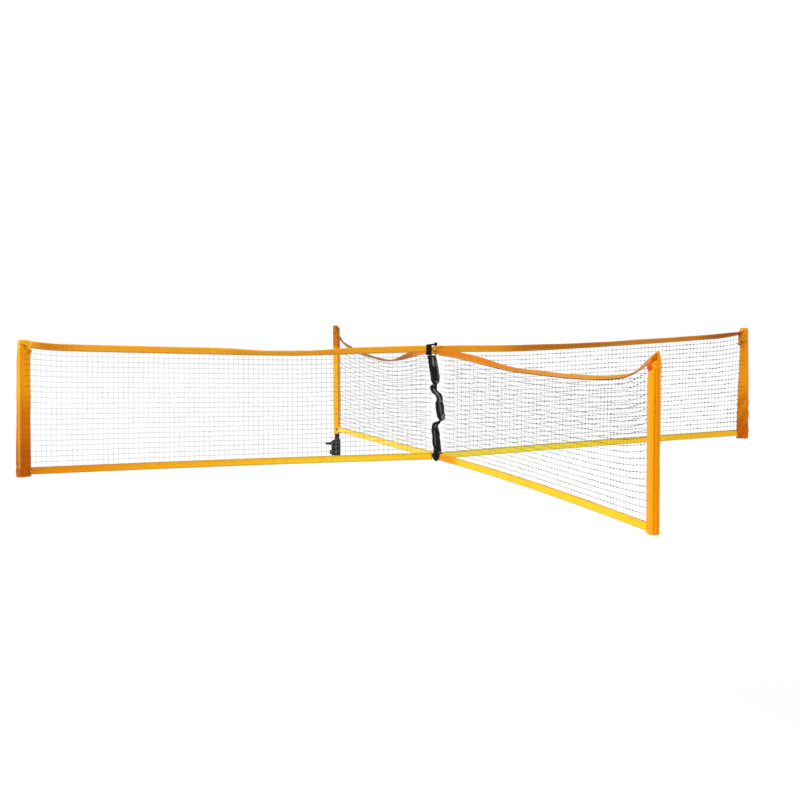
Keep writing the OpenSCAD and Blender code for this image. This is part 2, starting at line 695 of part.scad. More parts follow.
bottom_eye(RIGHT);  // bottom_eye_right
bottom_eye(FRONT);  // bottom_eye_front
bottom_eye(BACK);  // bottom_eye_back
sleeve(LEFT);  // sleeve_left
sleeve(RIGHT);  // sleeve_right
sleeve(FRONT);  // sleeve_front
sleeve(BACK);  // sleeve_back
hood(LEFT);  // hood_left
hood(RIGHT);  // hood_right
hood(FRONT);  // hood_front
hood(BACK);  // hood_back
corner_tabs(LEFT);  // corner_tabs_left
corner_tabs(RIGHT);  // corner_tabs_right
corner_tabs(FRONT);  // corner_tabs_front
corner_tabs(BACK);  // corner_tabs_back
post(LEFT);  // post_left
post(RIGHT);  // post_right
post(FRONT);  // post_front
post(BACK);  // post_back
post_cap(LEFT);  // post_cap_left
post_cap(RIGHT);  // post_cap_right
post_cap(FRONT);  // post_cap_front
post_cap(BACK);  // post_cap_back
band_keeper();
top_hinge_cord();
bottom_hinge_cord();
top_loop();
bottom_loop();
centre_strap();
collar();
grip_bush();
lever();
lever_pin();
knob();
knob_nut();
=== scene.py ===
"""The head of a four-way volleyball net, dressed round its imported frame. All lengths are in metres."""
import math
import random

import bmesh
import bpy
from mathutils import Matrix, Vector, noise
from mathutils.bvhtree import BVHTree


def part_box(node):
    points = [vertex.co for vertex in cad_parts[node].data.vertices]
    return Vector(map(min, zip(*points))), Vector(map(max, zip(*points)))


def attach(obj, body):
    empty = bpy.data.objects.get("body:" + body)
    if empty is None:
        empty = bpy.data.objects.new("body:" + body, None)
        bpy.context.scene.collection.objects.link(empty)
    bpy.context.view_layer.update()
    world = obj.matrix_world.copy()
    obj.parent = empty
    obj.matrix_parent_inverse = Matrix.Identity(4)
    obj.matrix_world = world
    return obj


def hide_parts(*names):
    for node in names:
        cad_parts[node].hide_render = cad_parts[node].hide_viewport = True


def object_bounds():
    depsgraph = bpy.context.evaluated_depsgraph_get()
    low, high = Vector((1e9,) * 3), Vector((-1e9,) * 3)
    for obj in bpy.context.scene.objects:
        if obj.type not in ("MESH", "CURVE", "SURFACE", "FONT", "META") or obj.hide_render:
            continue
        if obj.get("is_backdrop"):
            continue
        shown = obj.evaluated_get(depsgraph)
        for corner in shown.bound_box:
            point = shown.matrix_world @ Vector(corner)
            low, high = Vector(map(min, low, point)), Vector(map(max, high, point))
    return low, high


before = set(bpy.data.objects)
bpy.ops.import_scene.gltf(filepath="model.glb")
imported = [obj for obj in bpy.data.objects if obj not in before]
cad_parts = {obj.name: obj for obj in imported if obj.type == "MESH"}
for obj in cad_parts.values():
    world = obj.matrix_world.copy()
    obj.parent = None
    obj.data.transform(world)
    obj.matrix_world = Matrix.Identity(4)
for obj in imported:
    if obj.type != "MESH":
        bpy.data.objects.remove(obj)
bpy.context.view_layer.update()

# ------------------------------------ The view
# A long lens at a grown player's eye height, in front of the net and to its left, so that
# all four wings show. The picture is taken to be 800 by 800.
IMAGE = 800
FOCAL_PIXELS = 1361.5
HORIZON_RISE = 29
SENSOR = 36.0
CAMERA_PLACE = Vector((-2.572, -6.678, 1.1115))
CAMERA_YAW = math.radians(-19.554)
CAMERA_DROP = math.radians(3.341)
CAMERA_ROLL = math.radians(0.259)

level_ahead = Vector((-math.sin(CAMERA_YAW), math.cos(CAMERA_YAW), 0))
level_right = Vector((math.cos(CAMERA_YAW), math.sin(CAMERA_YAW), 0))
ahead = level_ahead * math.cos(CAMERA_DROP) - Vector((0, 0, math.sin(CAMERA_DROP)))
above = level_ahead * math.sin(CAMERA_DROP) + Vector((0, 0, math.cos(CAMERA_DROP)))
right = level_right * math.cos(CAMERA_ROLL) - above * math.sin(CAMERA_ROLL)
above = level_right * math.sin(CAMERA_ROLL) + above * math.cos(CAMERA_ROLL)

camera = bpy.data.objects.new("camera", bpy.data.cameras.new("camera"))
bpy.context.scene.collection.objects.link(camera)
camera_turn = Matrix((right, above, -ahead)).transposed().to_4x4()
camera.matrix_world = Matrix.Translation(CAMERA_PLACE) @ camera_turn
camera.data.sensor_width = SENSOR
camera.data.lens = SENSOR * FOCAL_PIXELS / IMAGE
camera.data.shift_y = -HORIZON_RISE / IMAGE
bpy.context.scene.camera = camera

# ------------------------------------ The room
# A pale floor, far below the net's head, as it is when the head stands at playing height, and
# a white surround. A broad soft lamp on the left, a weaker one on the right and an even fill
# light the cloth.
FLOOR_DROP = 1.5
FLOOR_SIZE = 80.0
FLOOR_TONE = 0.70
FLOOR_GLOW = 0.25
FILL = 0.48
# Strength, heading and height in degrees
LAMPS = {"left_lamp": (2.8, 182, 32), "right_lamp": (1.1, -40, 28)}
LAMP_SOFTNESS = math.radians(24)

bpy.context.scene.view_settings.view_transform = "Standard"


def shader(name):
    """A new material, its node tree and its Principled shader."""
    material = bpy.data.materials.new(name)
    material.use_nodes = True
    tree = material.node_tree
    return material, tree, tree.nodes["Principled BSDF"]


def seen_straight(tree):
    """A socket that is 1 for the camera's own rays and 0 for the rest."""
    return tree.nodes.new("ShaderNodeLightPath").outputs["Is Camera Ray"]


world = bpy.data.worlds.new("surround")
bpy.context.scene.world = world
world.use_nodes = True
background = world.node_tree.nodes["Background"]
background.inputs["Color"].default_value = (1, 1, 1, 1)
seen_level = world.node_tree.nodes.new("ShaderNodeMix")
seen_level.inputs["A"].default_value = FILL
seen_level.inputs["B"].default_value = 1.0
world.node_tree.links.new(seen_straight(world.node_tree), seen_level.inputs["Factor"])
world.node_tree.links.new(seen_level.outputs["Result"], background.inputs["Strength"])

for name, (strength, heading, height) in LAMPS.items():
    heading, height = math.radians(heading), math.radians(height)
    lamp = bpy.data.objects.new(name, bpy.data.lights.new(name, "SUN"))
    bpy.context.scene.collection.objects.link(lamp)
    lamp.data.energy = strength
    lamp.data.angle = LAMP_SOFTNESS
    level = math.cos(height)
    towards = Vector((math.cos(heading) * level, math.sin(heading) * level, math.sin(height)))
    lamp.rotation_mode = "QUATERNION"
    lamp.rotation_quaternion = towards.to_track_quat("Z", "Y")

floor_mesh = bmesh.new()
bmesh.ops.create_grid(floor_mesh, x_segments=1, y_segments=1, size=FLOOR_SIZE / 2)
bmesh.ops.translate(floor_mesh, verts=floor_mesh.verts, vec=(0, 0, -FLOOR_DROP))
floor_data = bpy.data.meshes.new("floor")
floor_mesh.to_mesh(floor_data)
floor_mesh.free()
floor = bpy.data.objects.new("floor", floor_data)
bpy.context.scene.collection.objects.link(floor)
pale, pale_tree, pale_shader = shader("pale_floor")
pale_shader.inputs["Base Color"].default_value = (FLOOR_TONE, FLOOR_TONE, FLOOR_TONE, 1)
pale_shader.inputs["Roughness"].default_value = 0.9
pale_shader.inputs["Specular IOR Level"].default_value = 0.0
pale_shader.inputs["Emission Color"].default_value = (1, 1, 1, 1)
glow = pale_tree.nodes.new("ShaderNodeMath")
glow.operation = "MULTIPLY"
glow.inputs[1].default_value = FLOOR_GLOW
pale_tree.links.new(seen_straight(pale_tree), glow.inputs[0])
pale_tree.links.new(glow.outputs[0], pale_shader.inputs["Emission Strength"])
floor_data.materials.append(pale)
floor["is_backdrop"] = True

# ------------------------------------ The four wings' places
# Each wing stands straight out from the centre to its post. Its own frame has s outwards along
# the net, y to its left and z up from the foot of the net.
WINGS = ("left", "right", "front", "back")
NET_FOOT = 0.190
AXES = {}
for wing in WINGS:
    low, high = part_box("post_" + wing)
    to_post = (low + high) / 2
    out = Vector((to_post.x, to_post.y, 0)).normalized()
    AXES[wing] = (out, Vector((-out.y, out.x, 0)))
REACH = Vector((to_post.x, to_post.y)).length


def place(wing, s, y, z):
    """A point of a wing's own frame, in the head's frame."""
    out, left = AXES[wing]
    return out * s + left * y + Vector((0, 0, NET_FOOT + z))


def blend(a, b, t):
    return a + (b - a) * t


def smooth(t):
    t = min(max(t, 0), 1)
    return t * t * (3 - 2 * t)


def ripple(x, y, z):
    """Even noise from about -1 to 1, the same in every run."""
    return noise.noise(Vector((x, y, z))) * 1.6


# ------------------------------------ The way cloth is finished
# All the cloth is coated nylon: a fine plain weave under a slight gloss, creased where it has
# been folded in its bag, with sewn rows of thread.
CLOTH_ROUGH = 0.4
CLOTH_GLOSS = 0.07
WEAVE = 0.0011
WEAVE_RELIEF = 0.00012
THREAD_STEP = 0.0045
THREAD_HALF = 0.0007
THREAD_RELIEF = 0.0005
THREAD_COLOUR = (235, 180, 90)
STITCH_SHARE = 0.7
# Colour of the highlight painted on the cloth's ridges
RIDGE_HIGHLIGHT = (255, 214, 92)


def tint(red, green, blue):
    """A colour as it is seen, 0 to 255 each, made linear."""
    return tuple(((c / 255 + 0.055) / 1.055) ** 2.4 if c > 10 else c / 3294.6
                 for c in (red, green, blue)) + (1,)


def maths(tree, operation, first, second=0.0, third=0.0):
    """The result of one sum on sockets or plain numbers."""
    node = tree.nodes.new("ShaderNodeMath")
    node.operation = operation
    for socket, value in zip(node.inputs, (first, second, third)):
        if isinstance(value, (int, float)):
            socket.default_value = value
        else:
            tree.links.new(value, socket)
    return node.outputs[0]


def mixed(tree, factor, first, second):
    """Two colours mixed by a socket. Each is a colour or a socket. Sockets 6 and 7 of the node are
    its colours, and output 2 is the mixed one."""
    node = tree.nodes.new("ShaderNodeMix")
    node.data_type = "RGBA"
    tree.links.new(factor, node.inputs["Factor"])
    for socket, value in ((node.inputs[6], first), (node.inputs[7], second)):
        if isinstance(value, tuple):
            socket.default_value = value
        else:
            tree.links.new(value, socket)
    return node.outputs[2]


def cloudy(tree, where, scale, low, high, detail=3.0, stretch=(1, 1, 1)):
    """Soft patches from 0 to 1 on a coordinate socket."""
    mapping = tree.nodes.new("ShaderNodeMapping")
    mapping.inputs["Scale"].default_value = stretch
    tree.links.new(where, mapping.inputs["Vector"])
    patches = tree.nodes.new("ShaderNodeTexNoise")
    patches.inputs["Scale"].default_value = scale
    patches.inputs["Detail"].default_value = detail
    tree.links.new(mapping.outputs[0], patches.inputs["Vector"])
    spread = tree.nodes.new("ShaderNodeMapRange")
    spread.inputs["From Min"].default_value = low
    spread.inputs["From Max"].default_value = high
    tree.links.new(patches.outputs["Fac"], spread.inputs["Value"])
    return spread.outputs["Result"]


def bumped(tree, principled, height, distance, under=None):
    """Adds a relief to a shader and gives back its normal, for a finer one on top."""
    bump = tree.nodes.new("ShaderNodeBump")
    bump.inputs["Strength"].default_value = 1.0
    bump.inputs["Distance"].default_value = distance
    tree.links.new(height, bump.inputs["Height"])
    if under is not None:
        tree.links.new(under, bump.inputs["Normal"])
    tree.links.new(bump.outputs["Normal"], principled.inputs["Normal"])
    return bump.outputs["Normal"]


def nylon(name, main, deep, crease=0.0012, thread_rows=(), painted_light_fades=(), shaded_rows=(), fold_shade=None):
    """Coated nylon. UVs are in metres: u along the piece, v across the cut. Each fade is an axis, the place
    where it starts, the place where it is complete and its colour: fades paint light and shade along the
    piece or up it. A shaded row is a place across the cut, a half width and how far painted shade deepens the
    colour there, towards the colour of the painted shade in a fold."""
    material, tree, principled = shader(name)
    coordinates = tree.nodes.new("ShaderNodeTexCoord")
    flat, solid = coordinates.outputs["UV"], coordinates.outputs["Object"]
    parts = tree.nodes.new("ShaderNodeSeparateXYZ")
    tree.links.new(flat, parts.inputs[0])
    along, across = parts.outputs["X"], parts.outputs["Y"]
    height = tree.nodes.new("ShaderNodeSeparateXYZ")
    tree.links.new(solid, height.inputs[0])

    patches = cloudy(tree, solid, 9, 0.35, 0.75)
    folds = cloudy(tree, solid, 55, 0.3, 0.8, detail=5)
    worn = maths(tree, "MULTIPLY", maths(tree, "ADD", patches, folds), 0.5)
    colour = mixed(tree, worn, tint(*main), tint(*deep))
    # Painted light and shade, fading along the piece or up it
    for axis, start, end, faded in painted_light_fades:
        ramp = tree.nodes.new("ShaderNodeMapRange")
        ramp.interpolation_type = "SMOOTHSTEP"
        ramp.inputs["From Min"].default_value = start
        ramp.inputs["From Max"].default_value = end
        tree.links.new(along if axis == "along" else height.outputs["Z"], ramp.inputs["Value"])
        colour = mixed(tree, ramp.outputs["Result"], colour, tint(*faded))
    # Colour of the painted shade in folds and along shaded rows
    painted_shade_colour = tint(*(fold_shade or [0.62 * c for c in deep]))
    # Rows of painted shade along folds and cut edges
    for row, half, deepens in shaded_rows:
        beside = maths(tree, "ABSOLUTE", maths(tree, "SUBTRACT", across, row))
        beside = maths(tree, "DIVIDE", beside, half)
        near = maths(tree, "MAXIMUM", maths(tree, "SUBTRACT", 1.0, beside), 0.0)
        near = maths(tree, "MULTIPLY", near, deepens)
        colour = mixed(tree, near, colour, painted_shade_colour)
    # Painted shade darkens the colour in folds and creases; where the attribute is below 0, a painted
    # highlight makes ridges paler
    fold_shade_and_highlight = tree.nodes.new("ShaderNodeAttribute")
    fold_shade_and_highlight.attribute_name = "fold_shade_and_highlight"
    ridge_highlight = maths(tree, "MAXIMUM", maths(tree, "MULTIPLY", fold_shade_and_highlight.outputs["Fac"], -1.0), 0.0)
    colour = mixed(tree, ridge_highlight, colour, tint(*RIDGE_HIGHLIGHT))
    colour = mixed(tree, maths(tree, "MAXIMUM", fold_shade_and_highlight.outputs["Fac"], 0.0), colour, painted_shade_colour)

    warp = maths(tree, "SINE", maths(tree, "MULTIPLY", along, math.tau / WEAVE))
    weft = maths(tree, "SINE", maths(tree, "MULTIPLY", across, math.tau / WEAVE))
    cloth_relief = maths(tree, "MULTIPLY", warp, weft)
    normal = bumped(tree, principled, folds, crease)
    for row in thread_rows:
        beside = maths(tree, "ABSOLUTE", maths(tree, "SUBTRACT", across, row))
        in_row = maths(tree, "LESS_THAN", beside, THREAD_HALF)
        step = maths(tree, "FRACT", maths(tree, "MULTIPLY", along, 1 / THREAD_STEP))
        stitch = maths(tree, "MULTIPLY", in_row, maths(tree, "LESS_THAN", step, STITCH_SHARE))
        colour = mixed(tree, stitch, colour, tint(*THREAD_COLOUR))
        normal = bumped(tree, principled, stitch, THREAD_RELIEF, normal)
    bumped(tree, principled, cloth_relief, WEAVE_RELIEF, normal)
    tree.links.new(colour, principled.inputs["Base Color"])
    rough = maths(tree, "MULTIPLY_ADD", worn, 0.16, CLOTH_ROUGH)
    tree.links.new(rough, principled.inputs["Roughness"])
    principled.inputs["Specular IOR Level"].default_value = CLOTH_GLOSS
    return material


def off_line(point, line):
    """Distance of a point from a line through several corners."""
    nearest = math.inf
    for a, b in zip(line, line[1:]):
        share = (point - a).dot(b - a) / max((b - a).length_squared, 1e-12)
        nearest = min(nearest, (point - a.lerp(b, min(max(share, 0), 1))).length)
    return nearest


def press_and_shade(bm, wing, folds):
    """Presses folds into a bmesh and paints their light and shade. Each runs between two points of the wing's
    frame, with a half width, a height that is below 0 for a valley, and how far painted shade deepens its
    colour, below 0 for a painted highlight on a ridge."""
    layer = bm.verts.layers.float.get("fold_shade_and_highlight") or bm.verts.layers.float.new("fold_shade_and_highlight")
    bm.normal_update()
    cloth = BVHTree.FromBMesh(bm)
    lines = []
    for start, end, wide, tall, deepens in folds:
        a, b = place(wing, *start), place(wing, *end)
        line = [cloth.find_nearest(a.lerp(b, k / 8))[0] for k in range(9)]
        lines.append((line, wide, tall, deepens))
    moves = []
    for vert in bm.verts:
        move = 0.0
        for line, wide, tall, deepens in lines:
            near = math.exp(-((off_line(vert.co, line) / wide) ** 2))
            move += tall * near
            vert[layer] = min(max(vert[layer] + deepens * near, -1), 1)
        moves.append(vert.normal * move)
    for vert, move in zip(bm.verts, moves):
        vert.co += move


def dress(bm, name, body, material, stands_for=(), thick=0.0, levels=0):
    """Makes a piece of a bmesh, with a thickness where one is given, and sets it on its body."""
    mesh = bpy.data.meshes.new(name)
    bm.to_mesh(mesh)
    bm.free()
    mesh.shade_smooth()
    mesh.materials.append(material)
    piece = bpy.data.objects.new(name, mesh)
    bpy.context.scene.collection.objects.link(piece)
    if levels:
        rounder = piece.modifiers.new("rounder", "SUBSURF")
        rounder.levels = rounder.render_levels = levels
    if thick:
        wall = piece.modifiers.new("wall", "SOLIDIFY")
        wall.thickness = thick
        wall.offset = -1
    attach(piece, body)
    if stands_for:
        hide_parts(*stands_for)
    return piece


# Edges of one cloth that meet within this distance are sewn to each other
SEAM_JOIN = 0.00002


def cut_cloth(columns, rows, where, cut):
    """A grid of cloth put in place by where(u, v), u and v from 0 to 1. UVs are metres of its cut."""
    bm = bmesh.new()
    layer = bm.loops.layers.uv.new("UVMap")
    bmesh.ops.create_grid(bm, x_segments=columns, y_segments=rows, size=0.5, calc_uvs=True)
    for face in bm.faces:
        for loop in face.loops:
            u, v = loop[layer].uv
            loop[layer].uv = (u * cut[0], v * cut[1])
    for vert in bm.verts:
        vert.co = where(vert.co.x + 0.5, vert.co.y + 0.5)
    return bm


# ------------------------------------ Top bands
# A strip of orange nylon folded over the top cord and sewn to the net along its lower edge. It
# is slack on the front and back wings and has flopped over there, and leans on the right one.
BAND_H = 0.035
BAND_CUT = 0.073
BAND_START = 0.038
SEAM_EDGE = REACH - 0.042
BAND_END = SEAM_EDGE + 0.012
BAND_STEPS = 180
# Thickness of the cloth of bands and tapes
CLOTH_T = 0.0005
# Heights of the seam at the centre, at its lowest, at its turn up to the sleeve and at its end, with
# the share of the wing where the lowest lies, the turn's distance from the post and how late the rise
# to it comes. Then the flop in degrees: where it starts and is full, and how it changes near the post.
BANDS = {
    "left": dict(centre=0.603, low=0.594, low_at=0.36, shoulder=0.633, turn=0.20, late=1.15, end=0.650,
                 flop=42, starts=0.16, full=0.32, changes=0.42, run=0.35, at_end=0),
    "right": dict(centre=0.601, low=0.594, low_at=0.25, shoulder=0.634, turn=0.24, late=1.3, end=0.655,
                  flop=-37, starts=0.20, full=0.45, changes=0.92, run=0.15, at_end=-55),
    "front": dict(centre=0.587, low=0.544, low_at=0.50, shoulder=0.569, turn=0.26, late=4.0, end=0.640,
                  flop=64, starts=0.14, full=0.38, changes=0.90, run=0.20, at_end=30),
    "back": dict(centre=0.591, low=0.519, low_at=0.41, shoulder=0.584, turn=0.23, late=2.0, end=0.655,
                 flop=86, starts=0.06, full=0.34, changes=0.76, run=0.50, at_end=36),
}
END_RISE = 1.5
# Half of the folded strip's section, from its seam up round the fold: height, half thickness
BAND_SECTION = [(0, 0.0006), (0.009, 0.0010), (0.017, 0.0016), (0.023, 0.0025), (0.028, 0.0040),
                (0.0315, 0.0043), (0.0342, 0.0026), (0.035, 0)]


def seam_z(wing, s):
    """Height of a band's seam at distance s from the centre."""
    b = BANDS[wing]
    low_at, turn_at = b["low_at"] * REACH, REACH - b["turn"]
    if s < low_at:
        return blend(b["low"], b["centre"], (1 + math.cos(math.pi * s / low_at)) / 2)
    if s < turn_at:
        return blend(b["low"], b["shoulder"], ((s - low_at) / (turn_at - low_at)) ** b["late"])
    return blend(b["shoulder"], b["end"], min((s - turn_at) / (SEAM_EDGE - turn_at), 1.2) ** END_RISE)


def flop_at(wing, s):
    """Angle by which a band has flopped over at distance s."""
    b = BANDS[wing]
    falls = b["flop"] * smooth((s / REACH - b["starts"]) / (b["full"] - b["starts"]))
    change_from = b["changes"] * REACH
    change_to = min(change_from + b["run"], SEAM_EDGE)
    changed = smooth((s - change_from) / (change_to - change_from))
    return math.radians(blend(falls, b["at_end"], changed))


def section_point(section, v):
    """A point at share v of the way round a section that is given as its right half, foot to crown."""
    half = v * 2 if v <= 0.5 else (1 - v) * 2
    k = half * (len(section) - 1)
    i = min(int(k), len(section) - 2)
    u = blend(section[i][0], section[i + 1][0], k - i)
    t = blend(section[i][1], section[i + 1][1], k - i)
    return u, t if v <= 0.5 else -t


BAND_THREADS = (0.004, 0.069)
# Painted shade along its fold and at both cut edges
BAND_EDGE_SHADE = [(0.0365, 0.006, 0.25), (0.0, 0.006, 0.4), (BAND_CUT, 0.006, 0.4)]
# Main colour, deep colour and the fades along it from the centre outwards. The bands are one orange nylon:
# the four wings' different colours and their fades paint the light and shade that each band gets.
BAND_COLOURS = {
    "left": ((255, 180, 44), (255, 166, 34),
             [("along", 1.70, 1.95, (230, 136, 12)), ("along", 1.96, 2.02, (248, 184, 36))]),
    "right": ((252, 168, 36), (236, 148, 20),
              [("along", 0.28, 0.55, (202, 116, 6)), ("along", 0.90, 1.25, (222, 138, 40)),
               ("along", 1.60, 1.90, (178, 92, 12))]),
    "front": ((214, 124, 8), (192, 106, 4),
              [("along", 0.6, 1.3, (214, 142, 36)), ("along", 1.80, 1.98, (206, 134, 44))]),
    "back": ((236, 138, 22), (220, 120, 14), [("along", 0.2, 0.7, (150, 104, 46))]),
}
band_nylon = {
    wing: nylon("orange_band_" + wing, main, deep, thread_rows=BAND_THREADS, crease=0.0010,
                shaded_rows=BAND_EDGE_SHADE, painted_light_fades=painted_light_fades)
    for wing, (main, deep, painted_light_fades) in BAND_COLOURS.items()
}
for wing in WINGS:
    def band_point(u, v, wing=wing):
        s = blend(BAND_START, BAND_END, u)
        up, across = section_point(BAND_SECTION, v)
        across += 0.0006 * ripple(s * 30, v * 3, 1.7) * (up / BAND_H)
        turn = flop_at(wing, s) + 0.06 * ripple(s * 5, 0, 4.2)
        sway = 0.0015 * ripple(s * 7, 2, 0)
        return place(wing, s, up * math.sin(turn) + across * math.cos(turn) + sway,
                     seam_z(wing, s) + up * math.cos(turn) - across * math.sin(turn))

    long = BAND_END - BAND_START
    bm = cut_cloth(BAND_STEPS, 2 * (len(BAND_SECTION) - 1), band_point, (long, BAND_CUT))
    band = dress(bm, "band_" + wing, "wing_" + wing, band_nylon[wing],
                 ["top_band_" + wing, "top_cord_" + wing], thick=CLOTH_T, levels=1)

# ------------------------------------ Bottom tapes
# A straight strip of yellower nylon with a round pocket along its lower edge for the bottom
# cord, sewn to the net along its upper edge.
TAPE_H = 0.037
TAPE_CUT = 0.079
TAPE_STEPS = 150
TAPE_START = {"left": 0.021, "right": 0.033, "front": 0.049, "back": 0.026}
TAPE_CENTRE = 0.035
TAPE_END = {"left": 0.020, "right": 0.052, "front": -0.016, "back": -0.022}
# How far the net draws each tape up midway
TAPE_ARCH = {"left": 0.0045, "right": 0.003, "front": 0.0135, "back": 0.0}
TAPE_SECTION = [(0.037, 0.0007), (0.030, 0.0010), (0.022, 0.0014), (0.0145, 0.0024), (0.010, 0.0044),
                (0.0055, 0.0052), (0.0018, 0.0038), (0, 0)]


def tape_z(wing, s):
    """Lower edge of a tape at distance s from the centre."""
    straight = blend(TAPE_CENTRE, TAPE_END[wing], s / REACH)
    return straight + TAPE_ARCH[wing] * math.sin(math.pi * s / REACH)


TAPE_THREADS = (0.004, 0.026, 0.054, 0.075)
# Painted shade along its pocket and at both cut edges
TAPE_EDGE_SHADE = [(0.0395, 0.009, 0.6), (0.0, 0.006, 0.5), (TAPE_CUT, 0.006, 0.5)]
# Main colour, deep colour and fades along it from the centre outwards. The tapes are one yellow nylon: the
# four wings' different colours and their fades paint the light and shade that each tape gets.
TAPE_COLOURS = {
    "left": ((254, 214, 40), (252, 198, 30),
             [("along", 0.5, 1.3, (250, 176, 22)), ("along", 1.3, 1.9, (240, 146, 4))]),
    "right": ((255, 238, 64), (254, 222, 46), [("along", 0.5, 1.8, (252, 192, 22))]),
    "front": ((254, 200, 36), (248, 180, 24), [("along", 0.30, 0.14, (244, 140, 4))]),
    "back": ((246, 212, 74), (238, 190, 34), []),
}
tape_nylon = {
    wing: nylon("yellow_tape_" + wing, main, deep, thread_rows=TAPE_THREADS, crease=0.0007,
                shaded_rows=TAPE_EDGE_SHADE, painted_light_fades=painted_light_fades)
    for wing, (main, deep, painted_light_fades) in TAPE_COLOURS.items()
}
for wing in WINGS:
    def tape_point(u, v, wing=wing):
        s = blend(TAPE_START[wing], BAND_END, u)
        up, across = section_point(TAPE_SECTION, v)
        across += 0.0012 * ripple(s * 6, 0, 8.1) * (up / TAPE_H) + 0.0004 * ripple(s * 40, v * 3, 2.3)
        return place(wing, s, across, tape_z(wing, s) + up)

    long = BAND_END - TAPE_START[wing]
    bm = cut_cloth(TAPE_STEPS, 2 * (len(TAPE_SECTION) - 1), tape_point, (long, TAPE_CUT))
    tape = dress(bm, "tape_" + wing, "wing_" + wing, tape_nylon[wing],
                 ["bottom_tape_" + wing, "bottom_cord_" + wing], thick=CLOTH_T, levels=1)

# ------------------------------------ Nets
# Dark polyester cord knotted into 25 mm squares, 80 across and 22 high on each wing. The rows
# fan between the tape's straight edge and the band's slack one.
MESH_COLUMNS = 80
MESH_ROWS = 22
# Distance of each net's inner edge from the centre, and the thickness of its cord
NET_START = {"left": 0.056, "right": 0.056, "front": 0.068, "back": 0.056}
NET_CORD = {"left": 0.0028, "right": 0.0029, "front": 0.0020, "back": 0.0016}
# How light each net's cord is painted, at the centre and at the post: the nets are one dark cord, and these
# tones paint the light and shade that each net gets
CORD_LIGHT_AND_SHADE = {"left": (120, 214), "right": (188, 84), "front": (140, 14), "back": (46, 46)}
# Half the length of a knot along its row, where the cords run side by side, and half its height
KNOT_LONG = {"left": 0.0045, "right": 0.0070, "front": 0.0060, "back": 0.0070}
KNOT_THICK = {"left": 0.0012, "right": 0.0021, "front": 0.0014, "back": 0.0014}
KNOT_SIZES = (0.7, 1.5)
# The rope at a net's inner edge has no knots
EDGE_ROPE = 0.01
# Height of the net's lower edge at the post, and how tall the net is there
NET_LOW = 0.06
NET_TALL = 0.56
# How far a knot midway up the net may lie from its even place
SLACK = 0.0016
SEAM_LAP = 0.002
# How far before the post's axis each sleeve's sewn edge lies: height above the net's foot, distance
SEWN_EDGE = {
    "left": [(0.01, 0.029), (0.29, 0.0315), (0.39, 0.0345), (0.59, 0.0365), (0.62, 0.039)],
    "right": [(0.14, 0.050), (0.22, 0.0455), (0.385, 0.038), (0.44, 0.0345), (0.60, 0.028)],
    "front": [(-0.02, 0.053), (0.56, 0.0515), (0.585, 0.049), (0.605, 0.043), (0.632, 0.036)],
    "back": [(0.0, 0.042), (0.6, 0.042)],
}


def between(steps, z, k=1):
    """The value at height z between steps that are listed by rising height."""
    for a, b in zip(steps, steps[1:]):
        if z < b[0]:
            return blend(a[k], b[k], min(max((z - a[0]) / (b[0] - a[0]), 0), 1))
    return steps[-1][k]


def net_cord(wing):
    """Dark cord with random worn patches, painted lighter or darker towards one end of its net for the light
    it gets.
    """
    material, tree, principled = shader("net_cord_" + wing)
    where = tree.nodes.new("ShaderNodeTexCoord").outputs["Object"]
    axes = tree.nodes.new("ShaderNodeSeparateXYZ")
    tree.links.new(where, axes.inputs[0])
    out = AXES[wing][0]
    along = maths(tree, "MULTIPLY_ADD", axes.outputs["X"], out.x / REACH,
                  maths(tree, "MULTIPLY", axes.outputs["Y"], out.y / REACH))
    # Painted light and shade along the net, from the centre's tone to the post's
    tones = [tint(k, k * 1.02, k) for k in CORD_LIGHT_AND_SHADE[wing]]
    worn = maths(tree, "MULTIPLY", cloudy(tree, where, 30, 0.3, 0.7), 0.3)
    colour = mixed(tree, worn, mixed(tree, along, *tones), tint(90, 90, 88))
    tree.links.new(colour, principled.inputs["Base Color"])
    bumped(tree, principled, cloudy(tree, where, 2200, 0.3, 0.7), 0.0002)
    principled.inputs["Roughness"].default_value = 0.8
    principled.inputs["Specular IOR Level"].default_value = 0.2
    return material


